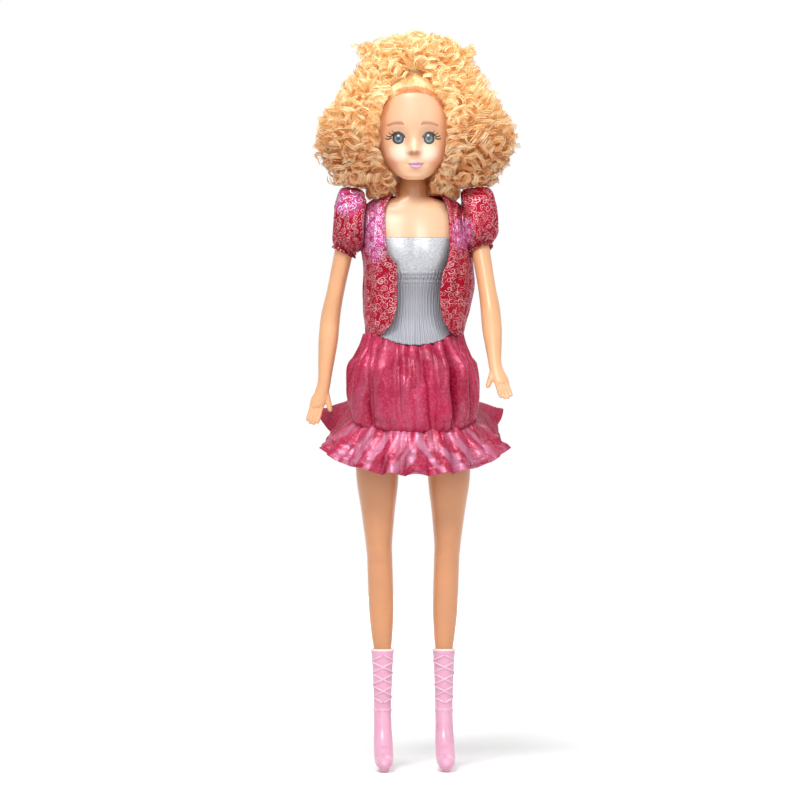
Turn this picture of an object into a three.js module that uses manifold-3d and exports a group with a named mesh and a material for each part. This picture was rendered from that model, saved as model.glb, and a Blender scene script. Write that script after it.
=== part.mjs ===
// A dressed fashion doll, standing on its heeled boots, built as the pieces it comes apart into.
// Millimetres, +Z up. The doll faces -Y, +X is its own left side, and the floor is at Z = 0.
import * as THREE from "three";
import { LoftGeometry } from "three/addons/geometries/LoftGeometry.js";
import { mergeVertices } from "three/addons/utils/BufferGeometryUtils.js";
import Module from "manifold-3d";

const wasm = await Module();
wasm.setup();

// Levels of the bare doll, each measured from the one before it
const legLength = 152; // floor to hip axis, boots on
const hipToWaist = 43;
const waistToBust = 20;
const bustToShoulder = 15.5;
const shoulderToNeck = 10;
const neckLength = 11.5;
const chinDrop = 5; // chin below the top of the neck
const headHeight = 46; // chin to crown

// Half widths and depths of the torso at its key levels
const crotchHalfWidth = 19;
const crotchFront = 10.5;
const crotchBack = 12.5;
const crotchDrop = 6;
const hipHalfWidth = 24;
const hipFront = 13;
const hipBack = 16;
const hipWidestRise = 9;
const waistHalfWidth = 13.6;
const waistFront = 10.3;
const waistBack = 9.6;
const bustHalfWidth = 17.8;
const bustFront = 16.4;
const bustBack = 11.3;
const shoulderHalfWidth = 22.3;
const shoulderFront = 9.4;
const shoulderBack = 10;
const shoulderTopHalfWidth = 17.5;
const shoulderTopFront = 7.2;
const shoulderTopBack = 8;
const shoulderTopDrop = 4; // shoulder top below the neck base
const neckBaseRadius = 6.2;
const neckRadius = 5.3;
const torsoWall = 1.6;

// Fits and clearances
const runningGap = 0.35; // between pieces that turn on each other
const restGap = 0.3; // between pieces that only rest on each other
const clothGap = 0.45; // between the body and the cloth on it
const mergeDistance = 0.0001; // points closer than this are one point
const cutOverrun = 2; // how far a cutter passes the face it cuts

// Pegs that carry the arms and legs, with the flange that snaps in behind the torso wall
const pegRadius = 2.6;
const flangeRadius = 3.4;
const flangeThickness = 1;
const flangeInset = 0.5;

// Neck peg and the seat in the head
const stemRadius = 2.1;
const knobRadius = 4.4;
const knobHeight = 3.2;
const neckFlangeHeight = 2.4;
const headFloor = 2.2;
const headWall = 2;

// Arms
const upperArm = 40;
const forearm = 30;
const handLength = 16.5;
const shoulderCentre = 26.2; // out from the middle
const shoulderBallRadius = 5.3;
const upperArmRadius = 3.95;
const elbowRadius = 4.2;
const wristRadius = 2.85;
const palmHalfWidth = 3.4;
const palmHalfDepth = 1.7;
const fingerHalfWidth = 2.9;
const fingerHalfDepth = 1.25;
const thumbLength = 8.5;
const thumbRadius = 1.3;
const upperArmSlopeDeg = 9.5;
const forearmSlopeDeg = 3.6;
const handSlopeDeg = 18;
const elbowBendDeg = 15;
const armPose = {
  right: { swingDeg: -5, splayDeg: 2.3 },
  left: { swingDeg: 22, splayDeg: -2.3 },
};

// Legs, from the hip ball down, as widths at the key levels
const hipHalfSpacing = 15.5;
const hipBallRadius = 9.6;
const thighHalfWidth = 8.9;
const thighHalfDepth = 9.2;
const kneeHalfWidth = 5.3;
const kneeHalfDepth = 5.7;
const kneeHeight = 89;
const kneeHalfSpacing = 14.1;
const calfHalfWidth = 5.25;
const calfFront = 4.8;
const calfBack = 6.2;
const calfHeight = 69;
const shinHalfWidth = 3.7; // where the leg goes into the boot
const shinHalfDepth = 3.9;
const footHalfSpacing = 12.9;
const legSwing = { backDeg: 20, frontDeg: 90 };

// Boots, measured over the outside
const bootHeight = 49.6;
const ankleHeight = 25;
const bootWall = 0.75;
const ankleHalfWidth = 3.75;
const ankleFront = 3.9;
const ankleBack = 4.2;
const footHalfWidth = 4;
const footHalfDepth = 3.5;
const footReach = 21; // leg axis to the toe tip
const ballReach = 10.5; // leg axis to the ball of the foot
const soleThickness = 0.9;
const soleHalfWidth = 3.5;
const soleLength = 12;
const heelBack = 3.2; // leg axis to the middle of the heel
const heelTopRadius = 2.6;
const heelTipRadius = 1.9;
const heelTopHeight = 17;

// Head and face
const headHalfWidth = 14.3;
const faceFront = 15.4;
const skullBack = 16.6;
const noseReach = 2.9; // nose tip in front of the face
const noseHalfWidth = 2.1;
const noseHeight = 8;
const noseRise = 12.5; // nose middle above the chin
const noseTiltDeg = 18;

// Hair: big curls all round, drawn up off the forehead and tied
const hairHalfWidth = 43;
const hairAside = 1.2; // the curls lean a little towards its left side
const hairFront = 15.6; // in front of the neck's axis
const hairBack = 34;
const hairTopRise = 15.6; // above the crown
const faceWindowHalfWidth = 14.6;
const foreheadRise = 36; // hairline above the chin
const hairOverNeck = 0.25; // lowest curls above the neck base
const hairOverSleeve = 1.2;
const hairUnderRadius = 18; // inside this the curls hang lower
const hairUnderSlope = 3;
const frontHairThickness = 1.7;
const frontHairHalfWidth = 7.4;
const frontHairDepth = 13; // how far back the smooth front hair runs from the forehead
const tuftRadius = 1.8;
const tuftHeight = 3.4;
const tuftForward = 6.4;
const tuftAside = 0.5; // towards its left side
const hairTieRadius = 2.6;
const hairTieThickness = 0.45;

// Dress: silver bodice and a pink skirt in two tiers
const clothThickness = 0.8;
const bodiceTopRise = 8.5; // above the bust
const skirtSeamRise = 28; // above the hip axis
const waistElasticHeight = 2.2;
const waistElasticThickness = 1.1;
const closureHalfWidth = 2.4;
const closureThickness = 0.5;
const closureInset = 2; // strip ends in from the bodice ends
const tierDrop = 32.4; // skirt seam to the flounce seam, at the sides
const tierTopFullness = 3.4; // how far the gathers stand out at once
const tierHalfWidth = 27.4;
const tierHalfDepth = 21;
const tierEndHalfWidth = 26.2;
const tierEndHalfDepth = 19.2;
const flounceDrop = 12.6; // flounce seam to hem, at the sides
const flounceHalfWidth = 35.5;
const flounceHalfDepth = 27;
const seamTiltDeg = 19;
const hemTiltDeg = 23;
const tierPleats = 12;
const tierPleatDepth = 0.5;
const flouncePleats = 12;
const flouncePleatDepth = 1.5;

// Jacket: back, two rounded fronts and puff sleeves
const jacketBottomRise = 1.2; // above the skirt seam
const jacketHemHalfWidth = 20;
const jacketHemFront = 15.2;
const jacketHemBack = 15.6;
const jacketWaistHalfWidth = 23;
const jacketWaistFront = 16.6;
const jacketWaistBack = 13.8;
const jacketBustStandOff = 2.6;
const jacketShoulderStandOff = 1.7;
const neckOpeningHalfWidth = 11.4;
const neckOpeningDepth = 8;
const frontOpeningHalfWidth = 13.4; // at the chest
const frontWaistGapHalfWidth = 9; // where the fronts come closest
const frontHemHalfWidth = 16.5;
const sleeveSeamOut = 21.2; // sleeve seam out from the middle
const sleeveRadius = 12.8;
const sleeveSeamRadius = 10.2;
const sleeveWidth = 14.3;
const cuffHeight = 2.2;
const cuffThickness = 0.9;

// How finely the round shapes are cut
const bodySides = 18;
const limbSides = 10;
const hairSides = 22;
const ballSides = 10;
const skirtSides = 36;
const roundSides = 12;
const sectionPower = 2.25; // 2 is an ellipse, more is squarer

const hipZ = legLength;
const waistZ = hipZ + hipToWaist;
const bustZ = waistZ + waistToBust;
const shoulderZ = bustZ + bustToShoulder;
const neckBaseZ = shoulderZ + shoulderToNeck;
const neckTopZ = neckBaseZ + neckLength;
const chinZ = neckTopZ - chinDrop;
const crownZ = chinZ + headHeight;
const skirtSeamZ = hipZ + skirtSeamRise;
const sides = { right: -1, left: 1 };

const rad = THREE.MathUtils.degToRad;

// Solids and booleans

// A closed geometry as a solid, with its seams merged, its pole slivers dropped and its faces outwards
function solidOf(geometry) {
  const bare = new THREE.BufferGeometry().copy(geometry);
  bare.deleteAttribute("normal");
  bare.deleteAttribute("uv");
  const merged = mergeVertices(bare, mergeDistance);
  const points = merged.attributes.position;
  const triangles = [];
  let volume = 0;
  const corner = [0, 1, 2].map(() => new THREE.Vector3());
  for (let t = 0; t < merged.index.count; t += 3) {
    const index = [0, 1, 2].map((k) => merged.index.getX(t + k));
    if (new Set(index).size < 3) continue;
    triangles.push(...index);
    index.forEach((i, k) => corner[k].fromBufferAttribute(points, i));
    volume += corner[0].dot(corner[1].cross(corner[2]));
  }
  if (volume < 0) triangles.reverse();
  return new wasm.Manifold(
    new wasm.Mesh({
      numProp: 3,
      vertProperties: new Float32Array(points.array),
      triVerts: new Uint32Array(triangles),
    }),
  );
}

const cut = (base, ...tools) => tools.reduce((s, t) => s.subtract(t), base);
const join = (base, ...others) => others.reduce((s, t) => s.add(t), base);

function geometryOf(solid) {
  const m = solid.getMesh();
  const count = m.vertProperties.length / m.numProp;
  const points = new Float32Array(count * 3);
  for (let i = 0; i < count; i++) {
    points.set(m.vertProperties.subarray(i * m.numProp, i * m.numProp + 3), i * 3);
  }
  return new THREE.BufferGeometry()
    .setAttribute("position", new THREE.BufferAttribute(points, 3))
    .setIndex(new THREE.BufferAttribute(new Uint32Array(m.triVerts), 1));
}

// Joins rings of points into one skin. A closed skin joins its last ring to its first, as a tube wall does.
// An open one is capped at both ends, and its rings run upwards, so that its walls face out as its caps do.
function skin(rings, closed = false) {
  if (closed) return solidOf(new LoftGeometry([...rings, rings[0]]));
  const rising = rings.at(-1)[0].z > rings[0][0].z ? rings : [...rings].reverse();
  return solidOf(new LoftGeometry(rising, { capStart: true, capEnd: true }));
}

// One ring of a body. A key has its middle (x, y, z), half width, front and back depths,
// and the pitch in degrees that its back is raised by.
function ring(key, count, power = sectionPower, pleats = 0, pleatDepth = 0) {
  const points = [];
  const pitch = rad(key.pitch ?? 0);
  for (let j = 0; j < count; j++) {
    const a = (j / count) * 2 * Math.PI;
    const c = Math.cos(a);
    const s = Math.sin(a);
    const swell = pleatDepth * Math.cos(pleats * a);
    const u = Math.sign(c) * Math.abs(c) ** (2 / power) * (key.wide + swell);
    const depth = (s > 0 ? key.back : key.front) + swell;
    const v = Math.sign(s) * Math.abs(s) ** (2 / power) * depth;
    points.push(
      new THREE.Vector3(
        (key.x ?? 0) + u,
        (key.y ?? 0) + v * Math.cos(pitch),
        key.z + v * Math.sin(pitch),
      ),
    );
  }
  return points;
}

// Fills in keys between the given ones by a monotone cubic, so that a limb swells and narrows without waves.
const fields = ["x", "y", "z", "wide", "front", "back", "pitch"];
function smooth(keys, steps = 2) {
  const place = [0];
  for (let i = 1; i < keys.length; i++) {
    const [a, b] = [keys[i - 1], keys[i]];
    const step = Math.hypot(b.z - a.z, (b.y ?? 0) - (a.y ?? 0), (b.x ?? 0) - (a.x ?? 0));
    place.push(place[i - 1] + step);
  }
  const filled = keys.length * steps - steps + 1;
  const made = Array.from({ length: filled }, () => ({}));
  for (const field of fields) {
    const value = keys.map((k) => k[field] ?? 0);
    const rise = value.slice(1).map((v, i) => (v - value[i]) / (place[i + 1] - place[i]));
    const slope = value.map((_, i) => {
      if (i === 0) return rise[0];
      if (i === value.length - 1) return rise[i - 1];
      const [before, after] = [rise[i - 1], rise[i]];
      return before * after <= 0 ? 0 : (2 * before * after) / (before + after);
    });
    for (let i = 0; i < keys.length - 1; i++) {
      const width = place[i + 1] - place[i];
      for (let k = 0; k <= steps; k++) {
        const t = k / steps;
        made[i * steps + k][field] =
          value[i] * (1 + 2 * t) * (1 - t) ** 2 +
          slope[i] * width * t * (1 - t) ** 2 +
          value[i + 1] * t * t * (3 - 2 * t) +
          slope[i + 1] * width * t * t * (t - 1);
      }
    }
  }
  return made;
}

const grown = (key, by) => ({
  ...key,
  wide: key.wide + by,
  front: key.front + by,
  back: key.back + by,
});
const round = (z, radius, more = {}) => ({
  z,
  wide: radius,
  front: radius,
  back: radius,
  ...more,
});
const loft = (keys, count, power) => skin(keys.map((k) => ring(k, count, power)));

// A tube of cloth: the keys give its outside, and its wall goes inwards.
function tube(keys, count, wall, pleats = 0, depths = []) {
  const outside = keys.map((k, i) => ring(k, count, sectionPower, pleats, depths[i]));
  const inside = keys.map((k, i) =>
    ring(grown(k, -wall), count, sectionPower, pleats, depths[i]),
  );
  return skin([...outside, ...inside.reverse()], true);
}

function block(x0, x1, y0, y1, z0, z1) {
  const made = new THREE.BoxGeometry(x1 - x0, y1 - y0, z1 - z0);
  made.translate((x0 + x1) / 2, (y0 + y1) / 2, (z0 + z1) / 2);
  return solidOf(made);
}

function rodAlongX(radius, x0, x1, y, z) {
  const made = new THREE.CylinderGeometry(radius, radius, Math.abs(x1 - x0), roundSides);
  made.rotateZ(Math.PI / 2).translate((x0 + x1) / 2, y, z);
  return solidOf(made);
}

function rodAlongZ(bottomRadius, topRadius, x, y, z0, z1) {
  const made = new THREE.CylinderGeometry(topRadius, bottomRadius, z1 - z0, roundSides);
  made.rotateX(Math.PI / 2).translate(x, y, (z0 + z1) / 2);
  return solidOf(made);
}

function ball(rx, ry, rz, x, y, z) {
  const made = new THREE.SphereGeometry(1, ballSides, ballSides / 2);
  made.rotateX(Math.PI / 2).scale(rx, ry, rz).translate(x, y, z);
  return solidOf(made);
}

// A closed outline in (u, z), pushed along the other axis.
function prismAlongX(outline, x0, x1) {
  const shape = new THREE.Shape(outline.map(([y, z]) => new THREE.Vector2(y, z)));
  const made = new THREE.ExtrudeGeometry(shape, { depth: x1 - x0, bevelEnabled: false });
  const place = new THREE.Matrix4().makeBasis(
    new THREE.Vector3(0, 1, 0),
    new THREE.Vector3(0, 0, 1),
    new THREE.Vector3(1, 0, 0),
  );
  return solidOf(made.applyMatrix4(place).translate(x0, 0, 0));
}

function prismAlongY(shape, y0, y1) {
  const made = new THREE.ExtrudeGeometry(shape, {
    depth: y1 - y0,
    bevelEnabled: false,
    curveSegments: 4,
  });
  return solidOf(made.rotateX(Math.PI / 2).translate(0, y1, 0));
}

// Finishes and the parts list

const finishes = {
  skin: { color: 0xf0c39c, roughness: 0.42 },
  peg: { color: 0xf2ede4, roughness: 0.5 },
  hair: { color: 0xe8b76a, roughness: 0.55 },
  elastic: { color: 0xf4e7c4, roughness: 0.6 },
  silver: { color: 0xb6bbc4, roughness: 0.45, metalness: 0.3 },
  satin: { color: 0xcb2567, roughness: 0.35 },
  jacket: { color: 0xb9234f, roughness: 0.5 },
  closure: { color: 0xf3f1ee, roughness: 0.9 },
  boot: { color: 0xf09ac6, roughness: 0.4 },
};
const doll = new THREE.Group();

function add(name, solid, finish, parent = doll) {
  const mesh = new THREE.Mesh(
    geometryOf(solid),
    new THREE.MeshStandardMaterial(finishes[finish]),
  );
  mesh.name = name;
  parent.add(mesh);
  return mesh;
}

// Torso: two shells that close at the side seams, with the hip sockets, peg holes and neck hole

const torsoKeys = [
  { z: hipZ - crotchDrop, wide: crotchHalfWidth, front: crotchFront, back: crotchBack },
  { z: hipZ + hipWidestRise, wide: hipHalfWidth, front: hipFront, back: hipBack },
  { z: waistZ, wide: waistHalfWidth, front: waistFront, back: waistBack },
  { z: bustZ, wide: bustHalfWidth, front: bustFront, back: bustBack },
  { z: shoulderZ, wide: shoulderHalfWidth, front: shoulderFront, back: shoulderBack },
  {
    z: neckBaseZ - shoulderTopDrop,
    wide: shoulderTopHalfWidth,
    front: shoulderTopFront,
    back: shoulderTopBack,
  },
  round(neckBaseZ, neckBaseRadius),
  round(neckTopZ, neckRadius),
];
const torsoSmooth = smooth(torsoKeys, 2);

// The body's section at any height, for what is worn on it
function bodyAt(z) {
  const above = torsoSmooth.findIndex((k) => k.z >= z);
  const high = torsoSmooth[Math.max(above, 1)];
  const low = torsoSmooth[Math.max(above, 1) - 1];
  const t = (z - low.z) / (high.z - low.z);
  const mix = (field) => low[field] + (high[field] - low[field]) * t;
  return { z, wide: mix("wide"), front: mix("front"), back: mix("back") };
}

// Where each leg swings, as an outline from the side: over the ball, then along the thigh at both limits
function legSweep(extra) {
  const radius = hipBallRadius + runningGap - extra;
  const reach = legLength / 2;
  const back = rad(legSwing.backDeg);
  const outline = [];
  const arcSteps = 8;
  for (let i = 0; i <= arcSteps; i++) {
    const a = back + (i / arcSteps) * (Math.PI / 2 - back);
    outline.push([radius * Math.cos(a), hipZ + radius * Math.sin(a)]);
  }
  const front = -reach;
  outline.push([front, hipZ + radius], [front, hipZ - reach]);
  const [y, z] = outline[0];
  outline.push([y + reach * Math.sin(back), z - reach * Math.cos(back)]);
  return outline;
}

const socketFace = hipHalfSpacing - hipBallRadius - runningGap;
const sweepOf = (side, wall) =>
  prismAlongX(
    legSweep(-wall),
    side > 0 ? socketFace - wall : -legLength,
    side > 0 ? legLength : wall - socketFace,
  );
const armFace = shoulderCentre - shoulderBallRadius - runningGap; // flat that the arm turns against
const armFlat = (side, wall) =>
  rodAlongX(
    sleeveSeamRadius,
    side * (armFace - wall),
    side * (armFace + legLength),
    0,
    shoulderZ,
  );
const cavityKeys = torsoSmooth
  .map((k) => grown(k, -torsoWall))
  .filter((k) => k.z > torsoKeys[0].z + torsoWall && k.z < neckTopZ - torsoWall);
cavityKeys.unshift({ ...grown(bodyAt(torsoKeys[0].z + torsoWall), -torsoWall) });
cavityKeys.push(round(neckTopZ - torsoWall, neckRadius - torsoWall));

let torso = loft(torsoSmooth, bodySides);
let cavity = loft(cavityKeys, bodySides);
for (const side of Object.values(sides)) {
  torso = cut(torso, sweepOf(side, 0), armFlat(side, 0));
  cavity = cut(cavity, sweepOf(side, torsoWall), armFlat(side, torsoWall));
}
torso = cut(
  torso,
  cavity,
  rodAlongX(pegRadius + runningGap, -hipHalfSpacing, hipHalfSpacing, 0, hipZ),
  rodAlongX(pegRadius + runningGap, -shoulderCentre, shoulderCentre, 0, shoulderZ),
  rodAlongZ(
    stemRadius + restGap,
    stemRadius + restGap,
    0,
    0,
    neckTopZ - torsoWall - cutOverrun,
    neckTopZ + cutOverrun,
  ),
);
const halfSpace = (y0, y1) => block(-legLength, legLength, y0, y1, 0, crownZ);
add("torso_front", torso.intersect(halfSpace(-legLength, 0)), "skin");
add("torso_back", torso.intersect(halfSpace(0, legLength)), "skin");

// Neck peg: its lower flange is caught between the torso halves, and the head snaps over its knob

const headFloorZ = neckTopZ + runningGap;
const knobZ = headFloorZ + headFloor + restGap;
const neckFlangeTop = neckTopZ - torsoWall - restGap;
const neckPeg = join(
  rodAlongZ(
    neckRadius - torsoWall - restGap,
    neckRadius - torsoWall - restGap,
    0,
    0,
    neckFlangeTop - neckFlangeHeight,
    neckFlangeTop,
  ),
  rodAlongZ(stemRadius, stemRadius, 0, 0, neckFlangeTop - neckFlangeHeight, knobZ + restGap),
  rodAlongZ(knobRadius, stemRadius, 0, 0, knobZ, knobZ + knobHeight),
);
add("neck_peg", neckPeg, "peg");

// Head: hollow soft vinyl with a recess for the neck and a hole that snaps over the knob

// Each row is height as a share of the head, then half width, front and back as shares of theirs
const headShares = [
  [0, 0.26, 0.84, -0.42],
  [0.035, 0.5, 0.97, 0.05],
  [0.1, 0.69, 1.02, 0.45],
  [0.2, 0.88, 1.02, 0.76],
  [0.36, 0.985, 0.96, 0.95],
  [0.54, 1, 0.99, 1],
  [0.72, 0.93, 0.9, 0.97],
  [0.87, 0.72, 0.67, 0.78],
  [0.965, 0.36, 0.34, 0.42],
];
const headKeys = headShares.map(([rise, wide, front, back]) => {
  const [low, high] = [-front * faceFront, back * skullBack];
  const middle = (low + high) / 2;
  const depth = (high - low) / 2;
  return {
    z: chinZ + rise * headHeight,
    y: middle,
    wide: wide * headHalfWidth,
    front: depth,
    back: depth,
  };
});
headKeys.push({ ...round(crownZ, headHalfWidth / 8), y: 0 });
const headSmooth = smooth(headKeys, 2);
const nose = ball(
  noseHalfWidth,
  noseReach,
  noseHeight / 2,
  0,
  -faceFront,
  chinZ + noseRise,
).rotate([-noseTiltDeg, 0, 0]);
const noseBack = nose.boundingBox();
const noseSeated = nose.translate([
  0,
  -faceFront * 0.94 - (noseBack.min[1] + noseBack.max[1]) / 2,
  chinZ + noseRise - (noseBack.min[2] + noseBack.max[2]) / 2,
]);
const headOutside = join(loft(headSmooth, bodySides), noseSeated);
const headCavity = loft(
  headSmooth
    .filter((k) => k.z > headFloorZ + headFloor && k.z < crownZ - headWall)
    .map((k) => grown(k, -headWall)),
  limbSides,
);
const cavityFloor = headFloorZ + headFloor;
const head = cut(
  headOutside,
  headCavity.intersect(block(-legLength, legLength, -legLength, legLength, cavityFloor, crownZ)),
  rodAlongZ(neckBaseRadius + runningGap, neckRadius + runningGap, 0, 0, neckBaseZ, headFloorZ),
  rodAlongZ(stemRadius + runningGap, stemRadius + runningGap, 0, 0, hipZ, knobZ + knobHeight),
  rodAlongZ(knobRadius + restGap, knobRadius + restGap, 0, 0, cavityFloor, knobZ + knobHeight),
);
add("head_shell", head, "skin");

// Hair: one volume of curls, cleared of the head, face, neck and shoulders, then parted into its bunches

// Each row is height as a share of the hair, then half width, front and back as shares of theirs
const hairShares = [
  [0, 0.5, 0.4, 0.6],
  [0.06, 0.76, 0.7, 0.82],
  [0.14, 0.87, 0.88, 0.93],
  [0.22, 0.93, 0.95, 0.98],
  [0.3, 0.99, 1, 1],
  [0.37, 1, 1, 1],
  [0.44, 0.965, 1, 1],
  [0.51, 0.89, 1, 0.97],
  [0.6, 0.79, 0.96, 0.92],
  [0.67, 0.72, 0.92, 0.86],
  [0.74, 0.63, 0.9, 0.78],
  [0.81, 0.56, 0.88, 0.68],
  [0.91, 0.53, 0.82, 0.55],
  [0.96, 0.36, 0.6, 0.38],
  [1, 0.1, 0.15, 0.1],
];
const hairLow = neckBaseZ + hairOverNeck;
const hairHeight = crownZ + hairTopRise - hairLow;
const hairVolume = loft(
  hairShares.map(([rise, wide, front, back]) => ({
    x: hairAside,
    z: hairLow + rise * hairHeight,
    wide: wide * hairHalfWidth,
    front: front * hairFront,
    back: back * hairBack,
  })),
  hairSides,
);
const hairLowOutside = shoulderZ + sleeveRadius + hairOverSleeve;
const underHair = solidOf(
  new THREE.LatheGeometry(
    [
      [0, hipZ],
      [legLength, hipZ],
      [legLength, hairLowOutside],
      [hairUnderRadius + hairUnderSlope, hairLowOutside],
      [hairUnderRadius, hairLow],
      [0, hairLow],
    ].map(([r, z]) => new THREE.Vector2(r, z)),
    roundSides,
  ).rotateX(Math.PI / 2),
);
const headRoom = loft(
  headSmooth.map((k) => grown(k, restGap)),
  bodySides,
);
const foreheadZ = chinZ + foreheadRise;
const faceShape = new THREE.Shape();
const windowLow = hipZ;
faceShape.moveTo(-faceWindowHalfWidth * 0.6, windowLow);
faceShape.lineTo(faceWindowHalfWidth * 0.6, windowLow);
faceShape.lineTo(faceWindowHalfWidth * 0.6, chinZ - chinDrop);
faceShape.quadraticCurveTo(
  faceWindowHalfWidth * 1.05,
  chinZ + chinDrop,
  faceWindowHalfWidth,
  chinZ + foreheadRise / 2,
);
faceShape.quadraticCurveTo(faceWindowHalfWidth, foreheadZ, 0, foreheadZ + chinDrop);
faceShape.quadraticCurveTo(
  -faceWindowHalfWidth,
  foreheadZ,
  -faceWindowHalfWidth,
  chinZ + foreheadRise / 2,
);
faceShape.quadraticCurveTo(
  -faceWindowHalfWidth * 1.05,
  chinZ + chinDrop,
  -faceWindowHalfWidth * 0.6,
  chinZ - chinDrop,
);
const faceWindow = prismAlongY(faceShape, -legLength, 0);
const neckRoom = neckBaseRadius + runningGap + restGap;
const frontHairX = [tuftAside - frontHairHalfWidth, tuftAside + frontHairHalfWidth];
const frontHairBox = block(
  frontHairX[0] - restGap,
  frontHairX[1] + restGap,
  -legLength,
  frontHairDepth - faceFront + restGap,
  foreheadZ,
  crownZ + restGap,
);
const hair = cut(
  hairVolume,
  headRoom,
  faceWindow,
  underHair,
  rodAlongZ(neckRoom, neckRoom, 0, 0, hipZ, neckTopZ),
  frontHairBox,
);
const partX = faceWindowHalfWidth + restGap; // parting between the side and back bunches
const topZ = crownZ + restGap; // parting under the top bunch
const bunch = (x0, x1, z0, z1) => hair.intersect(block(x0, x1, -legLength, legLength, z0, z1));
add("hair_top", bunch(-legLength, legLength, topZ, 2 * crownZ), "hair");
add("hair_right", bunch(-legLength, -partX, 0, topZ - restGap), "hair");
add("hair_left", bunch(partX, legLength, 0, topZ - restGap), "hair");
add("hair_back", bunch(restGap - partX, partX - restGap, 0, topZ - restGap), "hair");

// Smooth hair drawn up from the forehead into a tied tuft under the top bunch
const tuftY = -tuftForward;
const tuft = rodAlongZ(
  tuftRadius,
  tuftRadius,
  tuftAside,
  tuftY,
  crownZ - tuftHeight,
  topZ - restGap,
);
const frontHair = loft(
  headSmooth.map((k) => grown(k, frontHairThickness)),
  bodySides,
)
  .add(tuft)
  .subtract(headRoom)
  .intersect(
    block(
      ...frontHairX,
      -legLength,
      frontHairDepth - faceFront,
      foreheadZ,
      crownZ,
    ),
  );
const frontHairTop = frontHair.boundingBox().max[2];
add("hair_front", frontHair, "hair");
const tieGeometry = new THREE.TorusGeometry(
  hairTieRadius,
  hairTieThickness,
  limbSides / 2,
  roundSides,
).translate(tuftAside, tuftY, frontHairTop - hairTieThickness - restGap);
add("hair_tie", solidOf(tieGeometry).subtract(frontHair).subtract(headRoom), "elastic");

// Arms: one moulding each, with the fingers joined and the thumb apart

function armOf(side, splayDeg) {
  const slope = (deg) => Math.tan(rad(deg));
  const elbow = { x: upperArm * slope(upperArmSlopeDeg), y: 0, z: -upperArm };
  const wrist = {
    x: elbow.x + forearm * slope(forearmSlopeDeg),
    y: -forearm * slope(elbowBendDeg),
    z: elbow.z - forearm,
  };
  const tip = {
    x: wrist.x + handLength * slope(handSlopeDeg),
    y: wrist.y - handLength * slope(elbowBendDeg),
    z: wrist.z - handLength,
  };
  // A key part way between two places, with its own half width and depth
  const at = (a, b, share, wide, depth) => ({
    x: a.x + (b.x - a.x) * share,
    y: a.y + (b.y - a.y) * share,
    z: a.z + (b.z - a.z) * share,
    wide,
    front: depth,
    back: depth,
  });
  const shoulder = { x: 0, y: 0, z: 0 };
  const limb = smooth(
    [
      at(shoulder, elbow, 0.12, upperArmRadius, upperArmRadius),
      at(shoulder, elbow, 0.35, upperArmRadius, upperArmRadius),
      at(shoulder, elbow, 0.75, upperArmRadius * 0.94, upperArmRadius),
      at(elbow, wrist, 0.05, elbowRadius, elbowRadius),
      at(elbow, wrist, 0.3, elbowRadius, elbowRadius * 0.94),
      at(elbow, wrist, 0.65, (elbowRadius + wristRadius) / 2, (elbowRadius + wristRadius) / 2),
      at(elbow, wrist, 0.93, wristRadius, wristRadius * 0.9),
      at(wrist, tip, 0.3, palmHalfWidth, palmHalfDepth),
      at(wrist, tip, 0.55, fingerHalfWidth, palmHalfDepth),
      at(wrist, tip, 0.9, fingerHalfWidth * 0.8, fingerHalfDepth),
      at(wrist, tip, 1, fingerHalfWidth * 0.4, fingerHalfDepth * 0.5),
    ],
    2,
  );
  const thumbStart = at(wrist, tip, 0.12, thumbRadius, thumbRadius);
  const thumbKeys = [0, 0.35, 0.75, 1].map((share, i) => ({
    x: thumbStart.x - palmHalfWidth * 0.25 - palmHalfWidth * 0.6 * share,
    y: thumbStart.y - thumbRadius * share,
    z: thumbStart.z - thumbLength * share,
    wide: thumbRadius * [1.1, 1.15, 1, 0.5][i],
    front: thumbRadius,
    back: thumbRadius,
  }));
  const shape = join(loft(limb, limbSides, 2), loft(thumbKeys, limbSides / 2, 2));
  const splayed = shape.rotate([0, -splayDeg, 0]);
  const moulded = join(
    splayed,
    ball(shoulderBallRadius, shoulderBallRadius, shoulderBallRadius, 0, 0, 0),
    rodAlongX(shoulderBallRadius * 0.96, -shoulderBallRadius, 0, 0, 0),
  );
  return side > 0 ? moulded : moulded.mirror([1, 0, 0]);
}

// The peg and its flange are coaxial with the shoulder, so they don't splay with the arm
function armPeg(side) {
  const inside = armFace - torsoWall - flangeInset - shoulderCentre;
  return join(
    rodAlongX(pegRadius, side * (inside - flangeThickness), 0, 0, 0),
    rodAlongX(flangeRadius, side * (inside - flangeThickness), side * inside, 0, 0),
  );
}

// Puff sleeve: turned about the shoulder's axis, so it keeps its place in the armhole as the arm swings.
// Its shares are how far out along that axis, and how far it stands off it.
const sleeveShares = [
  [0, 0],
  [0.18, 0.78],
  [0.42, 1],
  [0.68, 0.9],
  [0.88, 0.52],
];
function sleeveOf(side) {
  const seam = sleeveSeamOut - shoulderCentre;
  const profile = (inset) =>
    sleeveShares.map(([along, bulge]) => [
      seam + along * sleeveWidth + (along < 0.3 ? inset * (along > 0) : -inset / 2),
      sleeveSeamRadius + (sleeveRadius - sleeveSeamRadius) * bulge - inset,
    ]);
  const shape = (inset) => {
    const points = profile(inset);
    const end = seam + sleeveWidth - inset;
    points.at(-1)[1] = sleeveRadius * 0.62 - inset;
    return [...points, [end, sleeveRadius * 0.25], [end, 0]];
  };
  const outline = [...shape(0), ...shape(clothThickness).reverse()];
  outline.push(outline[0]);
  const turned = new THREE.LatheGeometry(
    outline.map(([x, r]) => new THREE.Vector2(r, x)),
    roundSides,
  ).rotateZ(-Math.PI / 2);
  const shell = solidOf(turned);
  return side > 0 ? shell : shell.mirror([1, 0, 0]);
}

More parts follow.
